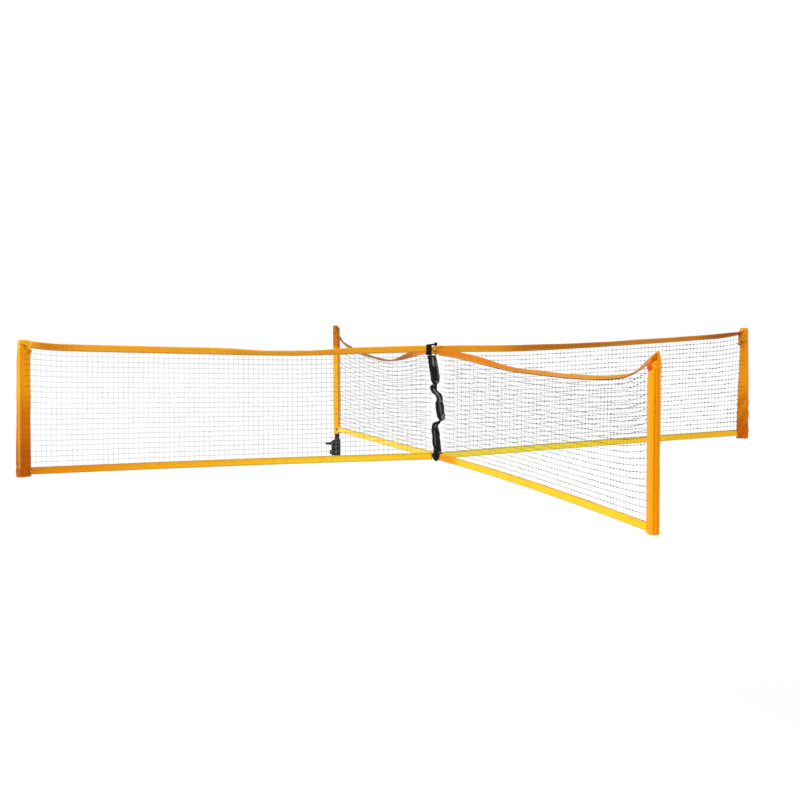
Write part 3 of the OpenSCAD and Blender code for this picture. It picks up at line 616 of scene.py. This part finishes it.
random.seed(4)
for wing in WINGS:
    bm = bmesh.new()
    bmesh.ops.create_grid(bm, x_segments=MESH_COLUMNS, y_segments=MESH_ROWS, size=0.5)
    for vert in bm.verts:
        u, v = vert.co.x + 0.5, vert.co.y + 0.5
        loose = 4 * v * (1 - v) * SLACK
        edge = REACH - between(SEWN_EDGE[wing], NET_LOW + NET_TALL * v) - 0.001
        s = blend(NET_START[wing], edge, u) + random.uniform(-loose, loose)
        low = tape_z(wing, s) + TAPE_H - SEAM_LAP
        high = seam_z(wing, min(s, SEAM_EDGE)) + SEAM_LAP
        billow = 0.004 * ripple(s * 2.2, v * 1.5, 3.3) + 0.0015 * ripple(s * 9, v * 6, 5.1)
        belly = 4 * v * (1 - v) * billow
        vert.co = place(wing, s, belly, blend(low, high, v) + random.uniform(-loose, loose))
    knots = []
    for vert in bm.verts:
        if vert.co.dot(AXES[wing][0]) > NET_START[wing] + EDGE_ROPE:
            varied = smooth(0.5 + ripple(vert.co.x * 17, vert.co.y * 17, vert.co.z * 40))
            knots.append((vert.co.copy(), blend(*KNOT_SIZES, varied)))
    bmesh.ops.wireframe(bm, faces=bm.faces[:], thickness=NET_CORD[wing] / 2, offset=0.0,
                        use_replace=True, use_boundary=True, use_even_offset=False)
    cords = bpy.data.meshes.new("cords")
    bm.to_mesh(cords)
    bm.clear()
    bmesh.ops.create_icosphere(bm, subdivisions=1, radius=1)
    corners = len(bm.verts)
    while len(bm.verts) < corners * len(knots):
        bmesh.ops.duplicate(bm, geom=bm.verts[:] + bm.edges[:] + bm.faces[:])
    out, left = AXES[wing]
    for i, vert in enumerate(bm.verts):
        knot, size = knots[min(i // corners, len(knots) - 1)]
        thick = KNOT_THICK[wing]
        vert.co = (knot + out * vert.co.x * KNOT_LONG[wing] * size + left * vert.co.y * thick
                   + Vector((0, 0, vert.co.z * thick * size)))
    bmesh.ops.delete(bm, geom=bm.verts[corners * len(knots):], context="VERTS")
    bm.from_mesh(cords)
    bpy.data.meshes.remove(cords)
    dress(bm, "mesh_" + wing, "wing_" + wing, net_cord(wing), ["net_" + wing])

# ------------------------------------ Sleeves
# Orange nylon sewn into a tube round the post. Towards the net it draws in to the sewn edge
# that the net is laced to. It puckers at each row of the net, and wrinkles at the foot.
SLEEVE_R = 0.0222
FLAP_T = 0.0018
SLEEVE_T = 0.0007
SLEEVE_ROWS = 130
SLEEVE_AROUND = 48
# How far a sleeve runs up inside its hood
SLEEVE_LAP = 0.012
# Each sleeve's lower edge, the height and thickness of its turned hem, and how far its top is tucked
HEM = {"left": 0.012, "right": 0.036, "front": -0.018, "back": -0.034}
HEM_H = 0.014
HEM_FOLD = 0.0009
TUCKED_IN = 0.0012
HOOD_TOP = {wing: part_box("hood_" + wing)[1].z - NET_FOOT for wing in WINGS}
HOOD_FOOT = {wing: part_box("hood_" + wing)[0].z - NET_FOOT for wing in WINGS}
# How the cloth hangs on its post: height, how far outwards, how much wider
HANG = {
    "left": [(0.012, 0.012, 0.0085), (0.09, 0.011, 0.0085), (0.19, 0.0095, 0.007), (0.29, 0.0072, 0.005),
             (0.39, 0.0065, 0.0045), (0.49, 0.0045, 0.0026), (0.59, 0.004, 0.0024), (0.64, 0.0015, 0.001)],
    "right": [(0.036, 0.004, 0.0055), (0.078, 0.004, 0.005), (0.108, 0.0045, 0.0015), (0.150, 0.0045, 0.0045),
              (0.30, 0.0045, 0.004), (0.40, 0.004, 0.0035), (0.50, 0.003, 0.002), (0.55, 0.003, 0.0015),
              (0.60, 0.003, 0.0012)],
    "front": [(-0.018, -0.001, -0.0012), (0.20, -0.001, -0.0006), (0.40, -0.0005, 0.0), (0.60, 0.0, 0.0004),
              (0.64, 0.0, 0.0010)],
    "back": [(-0.034, 0.0, 0.0), (0.20, 0.0, 0.003), (0.45, 0.0, 0.002), (0.60, 0.0, 0.0)],
}
# Depth of the puckers at the net's rows, and of the deepest fold
PUCKER = {"left": 0.0022, "right": 0.0014, "front": 0.0004, "back": 0.0020}
FULL_FOLD = 0.0022


def sleeve_outline(v, r, flap):
    """A sleeve's plan at share v of the way round it, from the sewn edge: its place from the post's
    axis, and its normal."""
    lean = math.asin((r - FLAP_T) / flap)
    straight = math.sqrt(flap * flap - (r - FLAP_T) ** 2)
    total = 2 * straight + r * (math.pi + 2 * lean)
    d = v * total
    side = 1
    if v > 0.5:
        d, side = total - d, -1
    if d < straight:
        normal = Vector((-math.sin(lean), math.cos(lean)))
        at = Vector((-flap, 0)) + normal * FLAP_T + Vector((math.cos(lean), math.sin(lean))) * d
    else:
        angle = math.pi / 2 + lean - (d - straight) / r
        normal = Vector((math.cos(angle), math.sin(angle)))
        at = normal * r
    return Vector((at.x, at.y * side)), Vector((normal.x, normal.y * side))


def net_row(wing, z):
    """Where height z lies between the rows of the net at the sleeve: 0 on a row, 0.5 midway."""
    low, high = tape_z(wing, SEAM_EDGE) + TAPE_H, seam_z(wing, SEAM_EDGE)
    return (z - low) / (high - low) * MESH_ROWS


def sleeve_wrinkle(wing, v, z):
    """How far a sleeve's cloth stands in or out at share v of its way round and height z, and how much
    painted shade its puckers and folds get."""
    beside = min(v, 1 - v)
    share = (z - HEM[wing]) / (HOOD_TOP[wing] - HEM[wing])
    row = net_row(wing, z)
    pull = (0.5 + 0.5 * math.cos(math.tau * row)) ** 3
    pull *= 0.55 + 0.45 * ripple(round(row) * 3.7, v * 2, 0)
    pull *= math.exp(-((beside - 0.10) / 0.085) ** 2) if 0 < row < MESH_ROWS else 0
    soft = 0.0011 * ripple(v * 3, WINGS.index(wing) * 5, z * 9)
    fine = 0.0005 * ripple(v * 12, WINGS.index(wing) * 7, z * 50)
    slant = 0.0
    if wing == "right":
        wave = math.sin(z * 62 + v * 17 + 2 * ripple(v * 2, 0, z * 5))
        slant = FULL_FOLD * smooth((0.52 - share) / 0.3) * wave
    if wing == "left":
        slant = FULL_FOLD * smooth((0.14 - share) / 0.1) * math.sin(z * 150 - v * 22)
    out = (soft + fine + slant - PUCKER[wing] * pull) * smooth(beside / 0.07)
    # Painted shade in the puckers at the net's rows and in the slanting folds
    deep = pull * PUCKER[wing] / FULL_FOLD * 0.8 + max(-slant, 0) / FULL_FOLD * 0.35
    return out, min(max(deep * smooth(beside / 0.03), 0), 1)


# The sleeves are one orange nylon: the four wings' different colours and their fades up the sleeve paint the
# light and shade that each gets, and the fold colour is the painted shade in folds.
sleeve_nylon = {
    "left": nylon("orange_sleeve_left", (250, 168, 16), (240, 148, 8),
                  painted_light_fades=[("height", 0.66, 0.49, (216, 122, 2)), ("height", 0.46, 0.30, (186, 98, 0)),
                         ("height", 0.84, 0.88, (254, 186, 30))], fold_shade=(196, 84, 8)),
    "right": nylon("orange_sleeve_right", (250, 162, 16), (240, 144, 8),
                   painted_light_fades=[("height", 0.60, 0.44, (232, 132, 4)), ("height", 0.44, 0.26, (208, 100, 4))]),
    "front": nylon("orange_sleeve_front", (253, 164, 4), (250, 150, 0), crease=0.0005, fold_shade=(178, 70, 0)),
    "back": nylon("orange_sleeve_back", (248, 180, 24), (236, 160, 12),
                  painted_light_fades=[("height", 0.70, 0.76, (194, 104, 10))]),
}
# Long folds down the sleeves: from, to, half width, height, how far painted shade deepens the colour, below 0
# a painted highlight
SLEEVE_FOLDS = {
    "left": [((2.118, 0.020, 0.640), (2.122, 0.024, 0.060), 0.0050, -0.0008, -0.45),
             ((2.104, 0.026, 0.640), (2.104, 0.030, 0.040), 0.0046, -0.0010, 0.12)],
    "right": [],
    "front": [((2.119, -0.011, 0.620), (2.116, -0.011, -0.016), 0.0028, -0.0016, 0.6),
              ((2.126, 0.003, 0.620), (2.122, 0.003, -0.016), 0.0050, 0.0004, 0.14),
              ((2.099, -0.022, 0.638), (2.113, -0.018, 0.649), 0.0034, -0.0010, 1.0)],
    "back": [],
}
for wing in WINGS:
    tall = HOOD_FOOT[wing] + SLEEVE_LAP - HEM[wing]
    foot_edge = between(SEWN_EDGE[wing], HEM[wing])
    around = (2 * math.sqrt(foot_edge ** 2 - SLEEVE_R ** 2)
              + SLEEVE_R * (math.pi + 2 * math.asin(SLEEVE_R / foot_edge)))
    fold_shade_and_highlight = []

    def sleeve_point(u, v, wing=wing, tall=tall, fold_shade_and_highlight=fold_shade_and_highlight):
        z = HEM[wing] + u * tall
        out, wider = between(HANG[wing], z), between(HANG[wing], z, 2)
        edge = between(SEWN_EDGE[wing], z) + out
        at, normal = sleeve_outline(v, SLEEVE_R + wider, edge)
        wrinkle, deep = sleeve_wrinkle(wing, v, z)
        hem = HEM_FOLD * smooth((HEM[wing] + HEM_H - z) / 0.002)
        tucked = TUCKED_IN * smooth((u - 0.965) / 0.02)
        at = at + normal * (wrinkle * (1 - smooth((u - 0.95) / 0.03)) + (hem - tucked))
        # The painted shade of the puckers and folds, kept for the colour
        fold_shade_and_highlight.append(deep)
        return place(wing, REACH + at.x + out, at.y, z)

    bm = cut_cloth(SLEEVE_ROWS, SLEEVE_AROUND, sleeve_point, (tall, around))
    layer = bm.verts.layers.float.new("fold_shade_and_highlight")
    for vert, deep in zip(bm.verts, fold_shade_and_highlight):
        vert[layer] = deep
    bmesh.ops.remove_doubles(bm, verts=bm.verts, dist=SEAM_JOIN)
    bmesh.ops.recalc_face_normals(bm, faces=bm.faces)
    press_and_shade(bm, wing, SLEEVE_FOLDS[wing])
    sleeve = dress(bm, "cover_" + wing, "wing_" + wing, sleeve_nylon[wing],
                   ["sleeve_" + wing], thick=SLEEVE_T, levels=1)

# ------------------------------------ Hoods
# A cap of the same nylon, sewn closed over the post's top. It takes in the band's end. Its crown
# leans over on the front and back posts, where the slack band pulls it down.
HOOD_WALL = 14
HOOD_CROWN = 20
HOOD_AROUND = 72
HOOD_SMOOTHED = 3
HOOD_OUT = 0.0004
# Height, above the hood's foot, of the point that its crown is laid out round
HOOD_CENTRE = 0.012
# Where the edge of the plan lies that its columns are spread over, before the post's axis
HOOD_EDGE = 0.042
HOOD_CUT = 0.17
# Farther out than any point of a packed hood
OUTSIDE = 0.2
# How far each hood's edge on the net's side runs out along the band, from none at its foot to this
# at its top, and how far before the post's axis that starts and over what length it grows
HOOD_LIP = {"left": 0.013, "right": 0.0, "front": 0.0, "back": 0.0}
LIP_START = 0.030
LIP_GROWS = 0.012
# Folds in each hood, with their painted shade and highlights, listed as the sleeves' are
HOOD_FOLDS = {
    "left": [((2.050, 0.009, 0.690), (2.067, 0.016, 0.640), 0.0044, 0.0016, -0.8),
             ((2.109, 0.022, 0.670), (2.084, 0.024, 0.6626), 0.0036, -0.0020, 0.8),
             ((2.084, 0.024, 0.6626), (2.080, 0.022, 0.656), 0.0040, -0.0024, 0.8),
             ((2.080, 0.022, 0.656), (2.085, 0.024, 0.644), 0.0040, -0.0016, 0.5),
             ((2.119, 0.018, 0.692), (2.119, 0.018, 0.640), 0.0080, 0.0006, -0.6)],
    "right": [((2.056, -0.006, 0.672), (2.062, -0.010, 0.650), 0.0055, 0.0016, 1.0),
              ((2.066, -0.014, 0.618), (2.122, -0.012, 0.606), 0.0036, -0.0030, 0.7),
              ((2.064, -0.014, 0.614), (2.074, -0.018, 0.604), 0.0046, -0.0024, 1.0),
              ((2.070, -0.018, 0.668), (2.104, -0.022, 0.652), 0.0050, 0.0018, 0.0),
              ((2.078, -0.020, 0.655), (2.112, -0.020, 0.628), 0.0040, -0.0018, 0.35)],
    "front": [((2.099, -0.022, 0.640), (2.113, -0.018, 0.649), 0.0034, -0.0016, 1.0),
              ((2.113, -0.018, 0.649), (2.1205, -0.0073, 0.660), 0.0034, -0.0018, 1.0),
              ((2.1205, -0.0073, 0.660), (2.120, -0.007, 0.683), 0.0030, -0.0010, 0.7),
              ((2.097, -0.023, 0.650), (2.113, -0.020, 0.660), 0.0065, 0.0008, 0.55),
              ((2.114, -0.019, 0.664), (2.1195, -0.013, 0.6755), 0.0065, 0.0008, 0.75)],
    "back": [((2.070, -0.020, 0.640), (2.120, -0.014, 0.664), 0.0040, -0.0020, 0.6),
             ((2.062, -0.012, 0.648), (2.090, -0.022, 0.676), 0.0036, -0.0018, 0.6)],
}
for wing in WINGS:
    top, foot = HOOD_TOP[wing], HOOD_FOOT[wing]
    packed_hood = bmesh.new()
    packed_hood.from_mesh(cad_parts["hood_" + wing].data)
    solid_hood = BVHTree.FromBMesh(packed_hood)
    packed_hood.free()

    def hood_point(u, v, wing=wing, foot=foot, solid_hood=solid_hood):
        wall_share = HOOD_WALL / (HOOD_WALL + HOOD_CROWN)
        at = sleeve_outline(v, SLEEVE_R + 0.001, HOOD_EDGE)[0].normalized()
        rise = math.radians(90) * max((u - wall_share) / (1 - wall_share), 0)
        centre_z = foot + max(HOOD_CENTRE * min(u / wall_share, 1), 0.0004)
        centre = place(wing, REACH, 0, centre_z)
        level = math.cos(rise)
        towards = place(wing, at.x * level, at.y * level, math.sin(rise)) - place(wing, 0, 0, 0)
        hit = solid_hood.ray_cast(centre + towards * OUTSIDE, -towards)[0]
        uneven = 0.0007 * ripple(v * 5, WINGS.index(wing) * 4, u * 5)
        return hit + towards * (HOOD_OUT + uneven * smooth(min(v, 1 - v) / 0.05))

    flat = (HOOD_CUT, top - foot + SLEEVE_R)
    bm = cut_cloth(HOOD_WALL + HOOD_CROWN, HOOD_AROUND, hood_point, flat[::-1])
    bmesh.ops.remove_doubles(bm, verts=bm.verts, dist=SEAM_JOIN)
    bmesh.ops.recalc_face_normals(bm, faces=bm.faces)
    out = AXES[wing][0]
    for vert in bm.verts:
        before_post = REACH - vert.co.dot(out)
        lip = HOOD_LIP[wing] * smooth((before_post - LIP_START) / LIP_GROWS)
        vert.co -= out * lip * min(max((vert.co.z - NET_FOOT - foot) / (top - foot), 0), 1)
    rim = {v for e in bm.edges if len(e.link_faces) == 1 for v in e.verts}
    for _ in range(HOOD_SMOOTHED):
        bmesh.ops.smooth_vert(bm, verts=[v for v in bm.verts if v not in rim], factor=0.5,
                              use_axis_x=True, use_axis_y=True, use_axis_z=True)
    press_and_shade(bm, wing, HOOD_FOLDS[wing])
    cut_area = min(sum(face.calc_area() for face in bm.faces), flat[0] * flat[1])
    hood = dress(bm, "cap_" + wing, "wing_" + wing, sleeve_nylon[wing],
                 ["hood_" + wing], thick=SLEEVE_T, levels=1)

# ------------------------------------ Corner tabs
# Leaves of webbing sewn on both faces of each sleeve over the net's corners. The front sleeve's
# are red-orange and larger, the rest are close to the sleeve's own colour.
FLAT_ANGLE = math.radians(3)
EDGE_ANGLE = math.radians(28)
SHARP_ANGLE = math.radians(35)
PLAIN_GLOSS = 0.15


def rounded_copy(node, name, body, material, radius, bend=None):
    """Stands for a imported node: its triangles joined into flat faces, its edges rounded, and the
    whole bent by a function where one is given."""
    bm = bmesh.new()
    bm.from_mesh(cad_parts[node].data)
    bmesh.ops.remove_doubles(bm, verts=bm.verts, dist=0.00001)
    bmesh.ops.dissolve_limit(bm, angle_limit=FLAT_ANGLE, verts=bm.verts, edges=bm.edges)
    edges = [e for e in bm.edges if len(e.link_faces) == 2 and e.calc_face_angle(0) > EDGE_ANGLE]
    bmesh.ops.bevel(bm, geom=edges, offset=radius, segments=2, profile=0.5, affect="EDGES",
                    material=-1, clamp_overlap=True)
    bmesh.ops.triangulate(bm, faces=[f for f in bm.faces if len(f.verts) > 4])
    for vert in bm.verts:
        vert.co = bend(vert.co) if bend else vert.co
    piece = dress(bm, name, body, material, [node])
    piece.data.set_sharp_from_angle(angle=SHARP_ANGLE)


def plain_finish(name, colour, deep, rough, metallic=0.0, grain=900, relief=0.0001):
    """A moulded, coated or plated surface, with a fine grain and worn patches."""
    material, tree, principled = shader(name)
    where = tree.nodes.new("ShaderNodeTexCoord").outputs["Object"]
    worn = cloudy(tree, where, 40, 0.35, 0.75, detail=6)
    tree.links.new(mixed(tree, worn, tint(*colour), tint(*deep)), principled.inputs["Base Color"])
    tree.links.new(maths(tree, "MULTIPLY_ADD", worn, 0.15, rough), principled.inputs["Roughness"])
    bumped(tree, principled, cloudy(tree, where, grain, 0.2, 0.8), relief)
    principled.inputs["Metallic"].default_value = metallic
    principled.inputs["Specular IOR Level"].default_value = PLAIN_GLOSS
    return material


TAB_TONES = {"left": ((232, 136, 16), (210, 116, 10)), "right": ((214, 128, 18), (190, 108, 12)),
             "front": ((242, 88, 20), (214, 62, 8)), "back": ((196, 108, 24), (170, 90, 18))}
# The front sleeve's upper leaf on the open side stands off it towards the net: it starts this far
# beyond the post's axis and lifts this much over this length
LIFT_PAST = 0.012
LIFT = 0.0085
LIFT_OVER = 0.024
UPPER_TABS = 0.6
for wing in WINGS:
    tab_nylon = plain_finish("tab_" + wing, *TAB_TONES[wing], 0.6, grain=1500, relief=0.0003)

    def lifted(co, wing=wing):
        out, left = AXES[wing]
        if co.z <= NET_FOOT + UPPER_TABS or co.dot(left) >= 0:
            return co
        return co - left * (LIFT * max((REACH + LIFT_PAST - co.dot(out)) / LIFT_OVER, 0))

    rounded_copy("corner_tabs_" + wing, "tabs_" + wing, "wing_" + wing, tab_nylon,
                 0.0005, bend=lifted if wing == "front" else None)

# ------------------------------------ The centre
# Loops of webbing turn on two short cords, and a padded strap of glossy black nylon, twisted and
# tied in, joins the upper cord to the lower one.
webbing = plain_finish("black_webbing", (10, 10, 10), (20, 20, 19), 0.5, grain=1300, relief=0.0004)
for wing in WINGS:
    rounded_copy("top_eye_" + wing, "upper_eye_" + wing, "wing_" + wing,
                 band_nylon[wing], 0.0006)
    rounded_copy("bottom_eye_" + wing, "lower_eye_" + wing, "wing_" + wing,
                 webbing, 0.0006)
rounded_copy("band_keeper", "keeper", "wing_left", webbing, 0.0005)
for node in ("top_loop", "bottom_loop"):
    rounded_copy(node, node + "_webbing", "centre", webbing, 0.0006)
for node in ("top_hinge_cord", "bottom_hinge_cord"):
    rounded_copy(node, node + "_braid", "centre", webbing, 0.0008)

# Heading of the strap's broad side, and its thickness as a share of its width
STRAP_TURN = math.radians(-19.5)
STRAP_FLAT = 0.72
# Its twists from top to bottom: height, shift along its broad side, half width
STRAP_RINGS = [
    (0.587, -0.0225, 0.0225), (0.577, -0.022, 0.0232), (0.561, -0.018, 0.0238), (0.5455, -0.016, 0.025),
    (0.530, -0.013, 0.0245), (0.514, -0.0098, 0.0247), (0.498, -0.0066, 0.024), (0.482, -0.0048, 0.025),
    (0.466, -0.0035, 0.024), (0.4504, -0.002, 0.0218), (0.442, -0.0022, 0.018), (0.4345, -0.003, 0.012),
    (0.427, -0.010, 0.0165), (0.4186, -0.0124, 0.0185), (0.411, -0.012, 0.0182), (0.4028, -0.011, 0.0165),
    (0.395, -0.005, 0.019), (0.387, 0.0018, 0.0215), (0.379, 0.011, 0.0195), (0.371, 0.0168, 0.0178),
    (0.355, 0.0208, 0.0166), (0.345, 0.0185, 0.0165), (0.339, 0.017, 0.0192), (0.3235, 0.0193, 0.022),
    (0.3077, 0.0213, 0.0236), (0.292, 0.0226, 0.0222), (0.276, 0.0249, 0.022), (0.260, 0.0268, 0.020),
    (0.251, 0.029, 0.0165), (0.244, 0.0302, 0.012), (0.2385, 0.020, 0.010), (0.233, 0.0075, 0.015),
    (0.2284, 0.0034, 0.0195), (0.2205, -0.003, 0.0175), (0.2125, -0.0058, 0.0166), (0.197, -0.0045, 0.0195),
    (0.181, -0.003, 0.0212), (0.165, 0.0, 0.0205), (0.149, 0.0002, 0.0203), (0.133, 0.001, 0.022),
    (0.117, 0.0024, 0.0212), (0.101, 0.006, 0.020), (0.094, 0.0068, 0.019), (0.0854, 0.0072, 0.0215),
    (0.073, 0.006, 0.0205),
]
# Highlights painted on its cloth as pale streaks: from and to as height and place across it, half width,
# strength
STRAP_PAINTED_HIGHLIGHTS = [
    ((0.577, 0.2), (0.530, 0.05), 0.16, 0.8), ((0.560, 0.78), (0.462, 0.8), 0.16, 0.4),
    ((0.452, 0.3), (0.440, 0.3), 0.20, 0.8), ((0.411, 0.0), (0.387, 0.2), 0.18, 0.9),
    ((0.387, 0.1), (0.371, -0.2), 0.20, 0.8), ((0.371, -0.2), (0.339, 0.3), 0.20, 0.8),
    ((0.330, 0.0), (0.280, 0.15), 0.20, 0.4), ((0.272, 0.35), (0.252, 0.4), 0.25, 0.9),
    ((0.222, 0.1), (0.205, 0.1), 0.20, 0.5), ((0.190, -0.3), (0.110, -0.2), 0.15, 0.3),
]
# Heights at which it is tied in, how far a tie's pleats reach up and down, and what is left of its
# width where its ends are sewn shut
TIES = (0.434, 0.4, 0.24, 0.097)
TIE_REACH = 0.020
STRAP_CLOSED = 0.15
PLEATS = 7
STRAP_ROWS = 240
STRAP_AROUND = 56
STRAP_CUT = (0.52, 0.14)

strap_nylon, strap_tree, strap_shader = shader("padded_strap")
strap_where = strap_tree.nodes.new("ShaderNodeTexCoord").outputs["Object"]
strap_worn = cloudy(strap_tree, strap_where, 60, 0.3, 0.8, detail=5)
strap_highlight_attribute = strap_tree.nodes.new("ShaderNodeAttribute")
strap_highlight_attribute.attribute_name = "painted_highlight"
strap_black = mixed(strap_tree, strap_worn, tint(2, 2, 3), tint(8, 8, 9))
# Painted highlight: pale grey where the highlight attribute is high
strap_colour = mixed(strap_tree, strap_highlight_attribute.outputs["Fac"], strap_black, tint(150, 150, 154))
strap_rough = maths(strap_tree, "MULTIPLY_ADD", strap_worn, 0.14, 0.22)
strap_tree.links.new(strap_colour, strap_shader.inputs["Base Color"])
strap_tree.links.new(strap_rough, strap_shader.inputs["Roughness"])
strap_shader.inputs["Specular IOR Level"].default_value = 0.22
strap_creases = cloudy(strap_tree, strap_where, 75, 0.3, 0.7, detail=3, stretch=(1, 1, 0.3))
strap_normal = bumped(strap_tree, strap_shader, strap_creases, 0.0050)
bumped(strap_tree, strap_shader, strap_worn, 0.0010, strap_normal)


def strap_ring(z):
    """The strap's shift and half width at height z, on a smooth line through its rings."""
    rings = STRAP_RINGS
    i = next((k for k in range(len(rings) - 2) if z >= rings[k + 1][0]), len(rings) - 2)
    t = min(max((rings[i][0] - z) / (rings[i][0] - rings[i + 1][0]), 0), 1)
    corners = [Vector(rings[min(max(k, 0), len(rings) - 1)]) for k in (i - 1, i, i + 1, i + 2)]
    a, b, c, d = corners
    slope_b = (c - a) * ((b.x - c.x) / (a.x - c.x)) if i else c - b
    slope_c = (d - b) * ((b.x - c.x) / (b.x - d.x)) if i < len(rings) - 2 else c - b
    bend = ((2 * t ** 3 - 3 * t ** 2 + 1) * b + (t ** 3 - 2 * t ** 2 + t) * slope_b
            + (3 * t ** 2 - 2 * t ** 3) * c + (t ** 3 - t ** 2) * slope_c)
    return bend.y, bend.z


# How much painted highlight each point of the strap gets, in the order in which they are made
strap_highlight_share = []


def strap_point(u, v):
    """A point of the strap, u down its length and v round it."""
    z = blend(STRAP_RINGS[0][0], STRAP_RINGS[-1][0], u)
    shift, half = strap_ring(z)
    angle = math.tau * v
    # How much painted highlight this point gets
    pale = 0.0
    for (high, at_high), (low, at_low), wide, strength in STRAP_PAINTED_HIGHLIGHTS:
        share = (high - z) / (high - low)
        ends = smooth(0.5 + 4 * min(share, 1 - share))
        beside = math.cos(angle) - blend(at_high, at_low, min(max(share, 0), 1))
        pale = max(pale, strength * ends * math.exp(-((beside / wide) ** 2)))
    strap_highlight_share.append(pale)
    tied = sum(math.exp(-(((z - tie) / TIE_REACH) ** 2)) for tie in TIES)
    pleat = 1 + (0.02 + 0.07 * min(tied, 1)) * math.sin(PLEATS * angle + 20 * math.sin(z * 30))
    round_x, round_y = math.cos(angle), math.sin(angle)
    crush = (0.05 * ripple(round_x * 0.5, z * 22, round_y * 0.5)
             + 0.025 * ripple(round_x * 1.1, z * 60, round_y * 1.1))
    end = STRAP_CLOSED if u < 0.001 or u > 0.999 else 1
    x = shift + end * half * (pleat + crush) * round_x
    y = end * STRAP_FLAT * half * (pleat + crush) * round_y
    turned = Matrix.Rotation(STRAP_TURN, 3, "Z") @ Vector((x, y, 0))
    return Vector((turned.x, turned.y, NET_FOOT + z))


bm = cut_cloth(STRAP_ROWS, STRAP_AROUND, strap_point, STRAP_CUT)
layer = bm.verts.layers.float.new("painted_highlight")
for vert, pale in zip(bm.verts, strap_highlight_share):
    vert[layer] = pale
bmesh.ops.remove_doubles(bm, verts=bm.verts, dist=SEAM_JOIN)
bmesh.ops.holes_fill(bm, edges=[e for e in bm.edges if len(e.link_faces) == 1])
bmesh.ops.recalc_face_normals(bm, faces=bm.faces)
strap = dress(bm, "padded_strap", "centre", strap_nylon, ["centre_strap"], levels=1)

# ------------------------------------ Posts
# Black coated tube, open at the foot for the pole below, with a moulded cap under the hood.
tube_black = plain_finish("coated_tube", (22, 22, 21), (34, 33, 31), 0.34, grain=2500, relief=0.00002)
cap_black = plain_finish("moulded_cap", (30, 30, 30), (44, 44, 43), 0.6)


def finish_node(node, finish):
    """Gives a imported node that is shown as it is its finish."""
    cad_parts[node].data.materials.clear()
    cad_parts[node].data.materials.append(finish)


for wing in WINGS:
    finish_node("post_" + wing, tube_black)
    finish_node("post_cap_" + wing, cap_black)

# ------------------------------------ The clamp
# Moulded collar on the back post: its lever closes it on the tube and its knob locks the pole
# below.
moulded = plain_finish("moulded_black", (38, 40, 35), (54, 56, 50), 0.5, relief=0.0002)
handle = plain_finish("moulded_handle", (22, 23, 21), (36, 37, 34), 0.45, relief=0.0002)
grey_nylon = plain_finish("grey_bush", (110, 110, 104), (134, 133, 126), 0.5)
plated = plain_finish("plated_steel", (168, 168, 172), (140, 140, 144), 0.25, metallic=1.0,
                      relief=0.00003)
rounded_copy("collar", "clamp_collar", "clamp", moulded, 0.0008)
rounded_copy("lever", "clamp_lever_arm", "clamp_lever", handle, 0.0007)
rounded_copy("knob", "clamp_knob_head", "clamp_knob", handle, 0.0006)
finish_node("grip_bush", grey_nylon)
finish_node("lever_pin", plated)
finish_node("knob_nut", plated)

low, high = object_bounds()
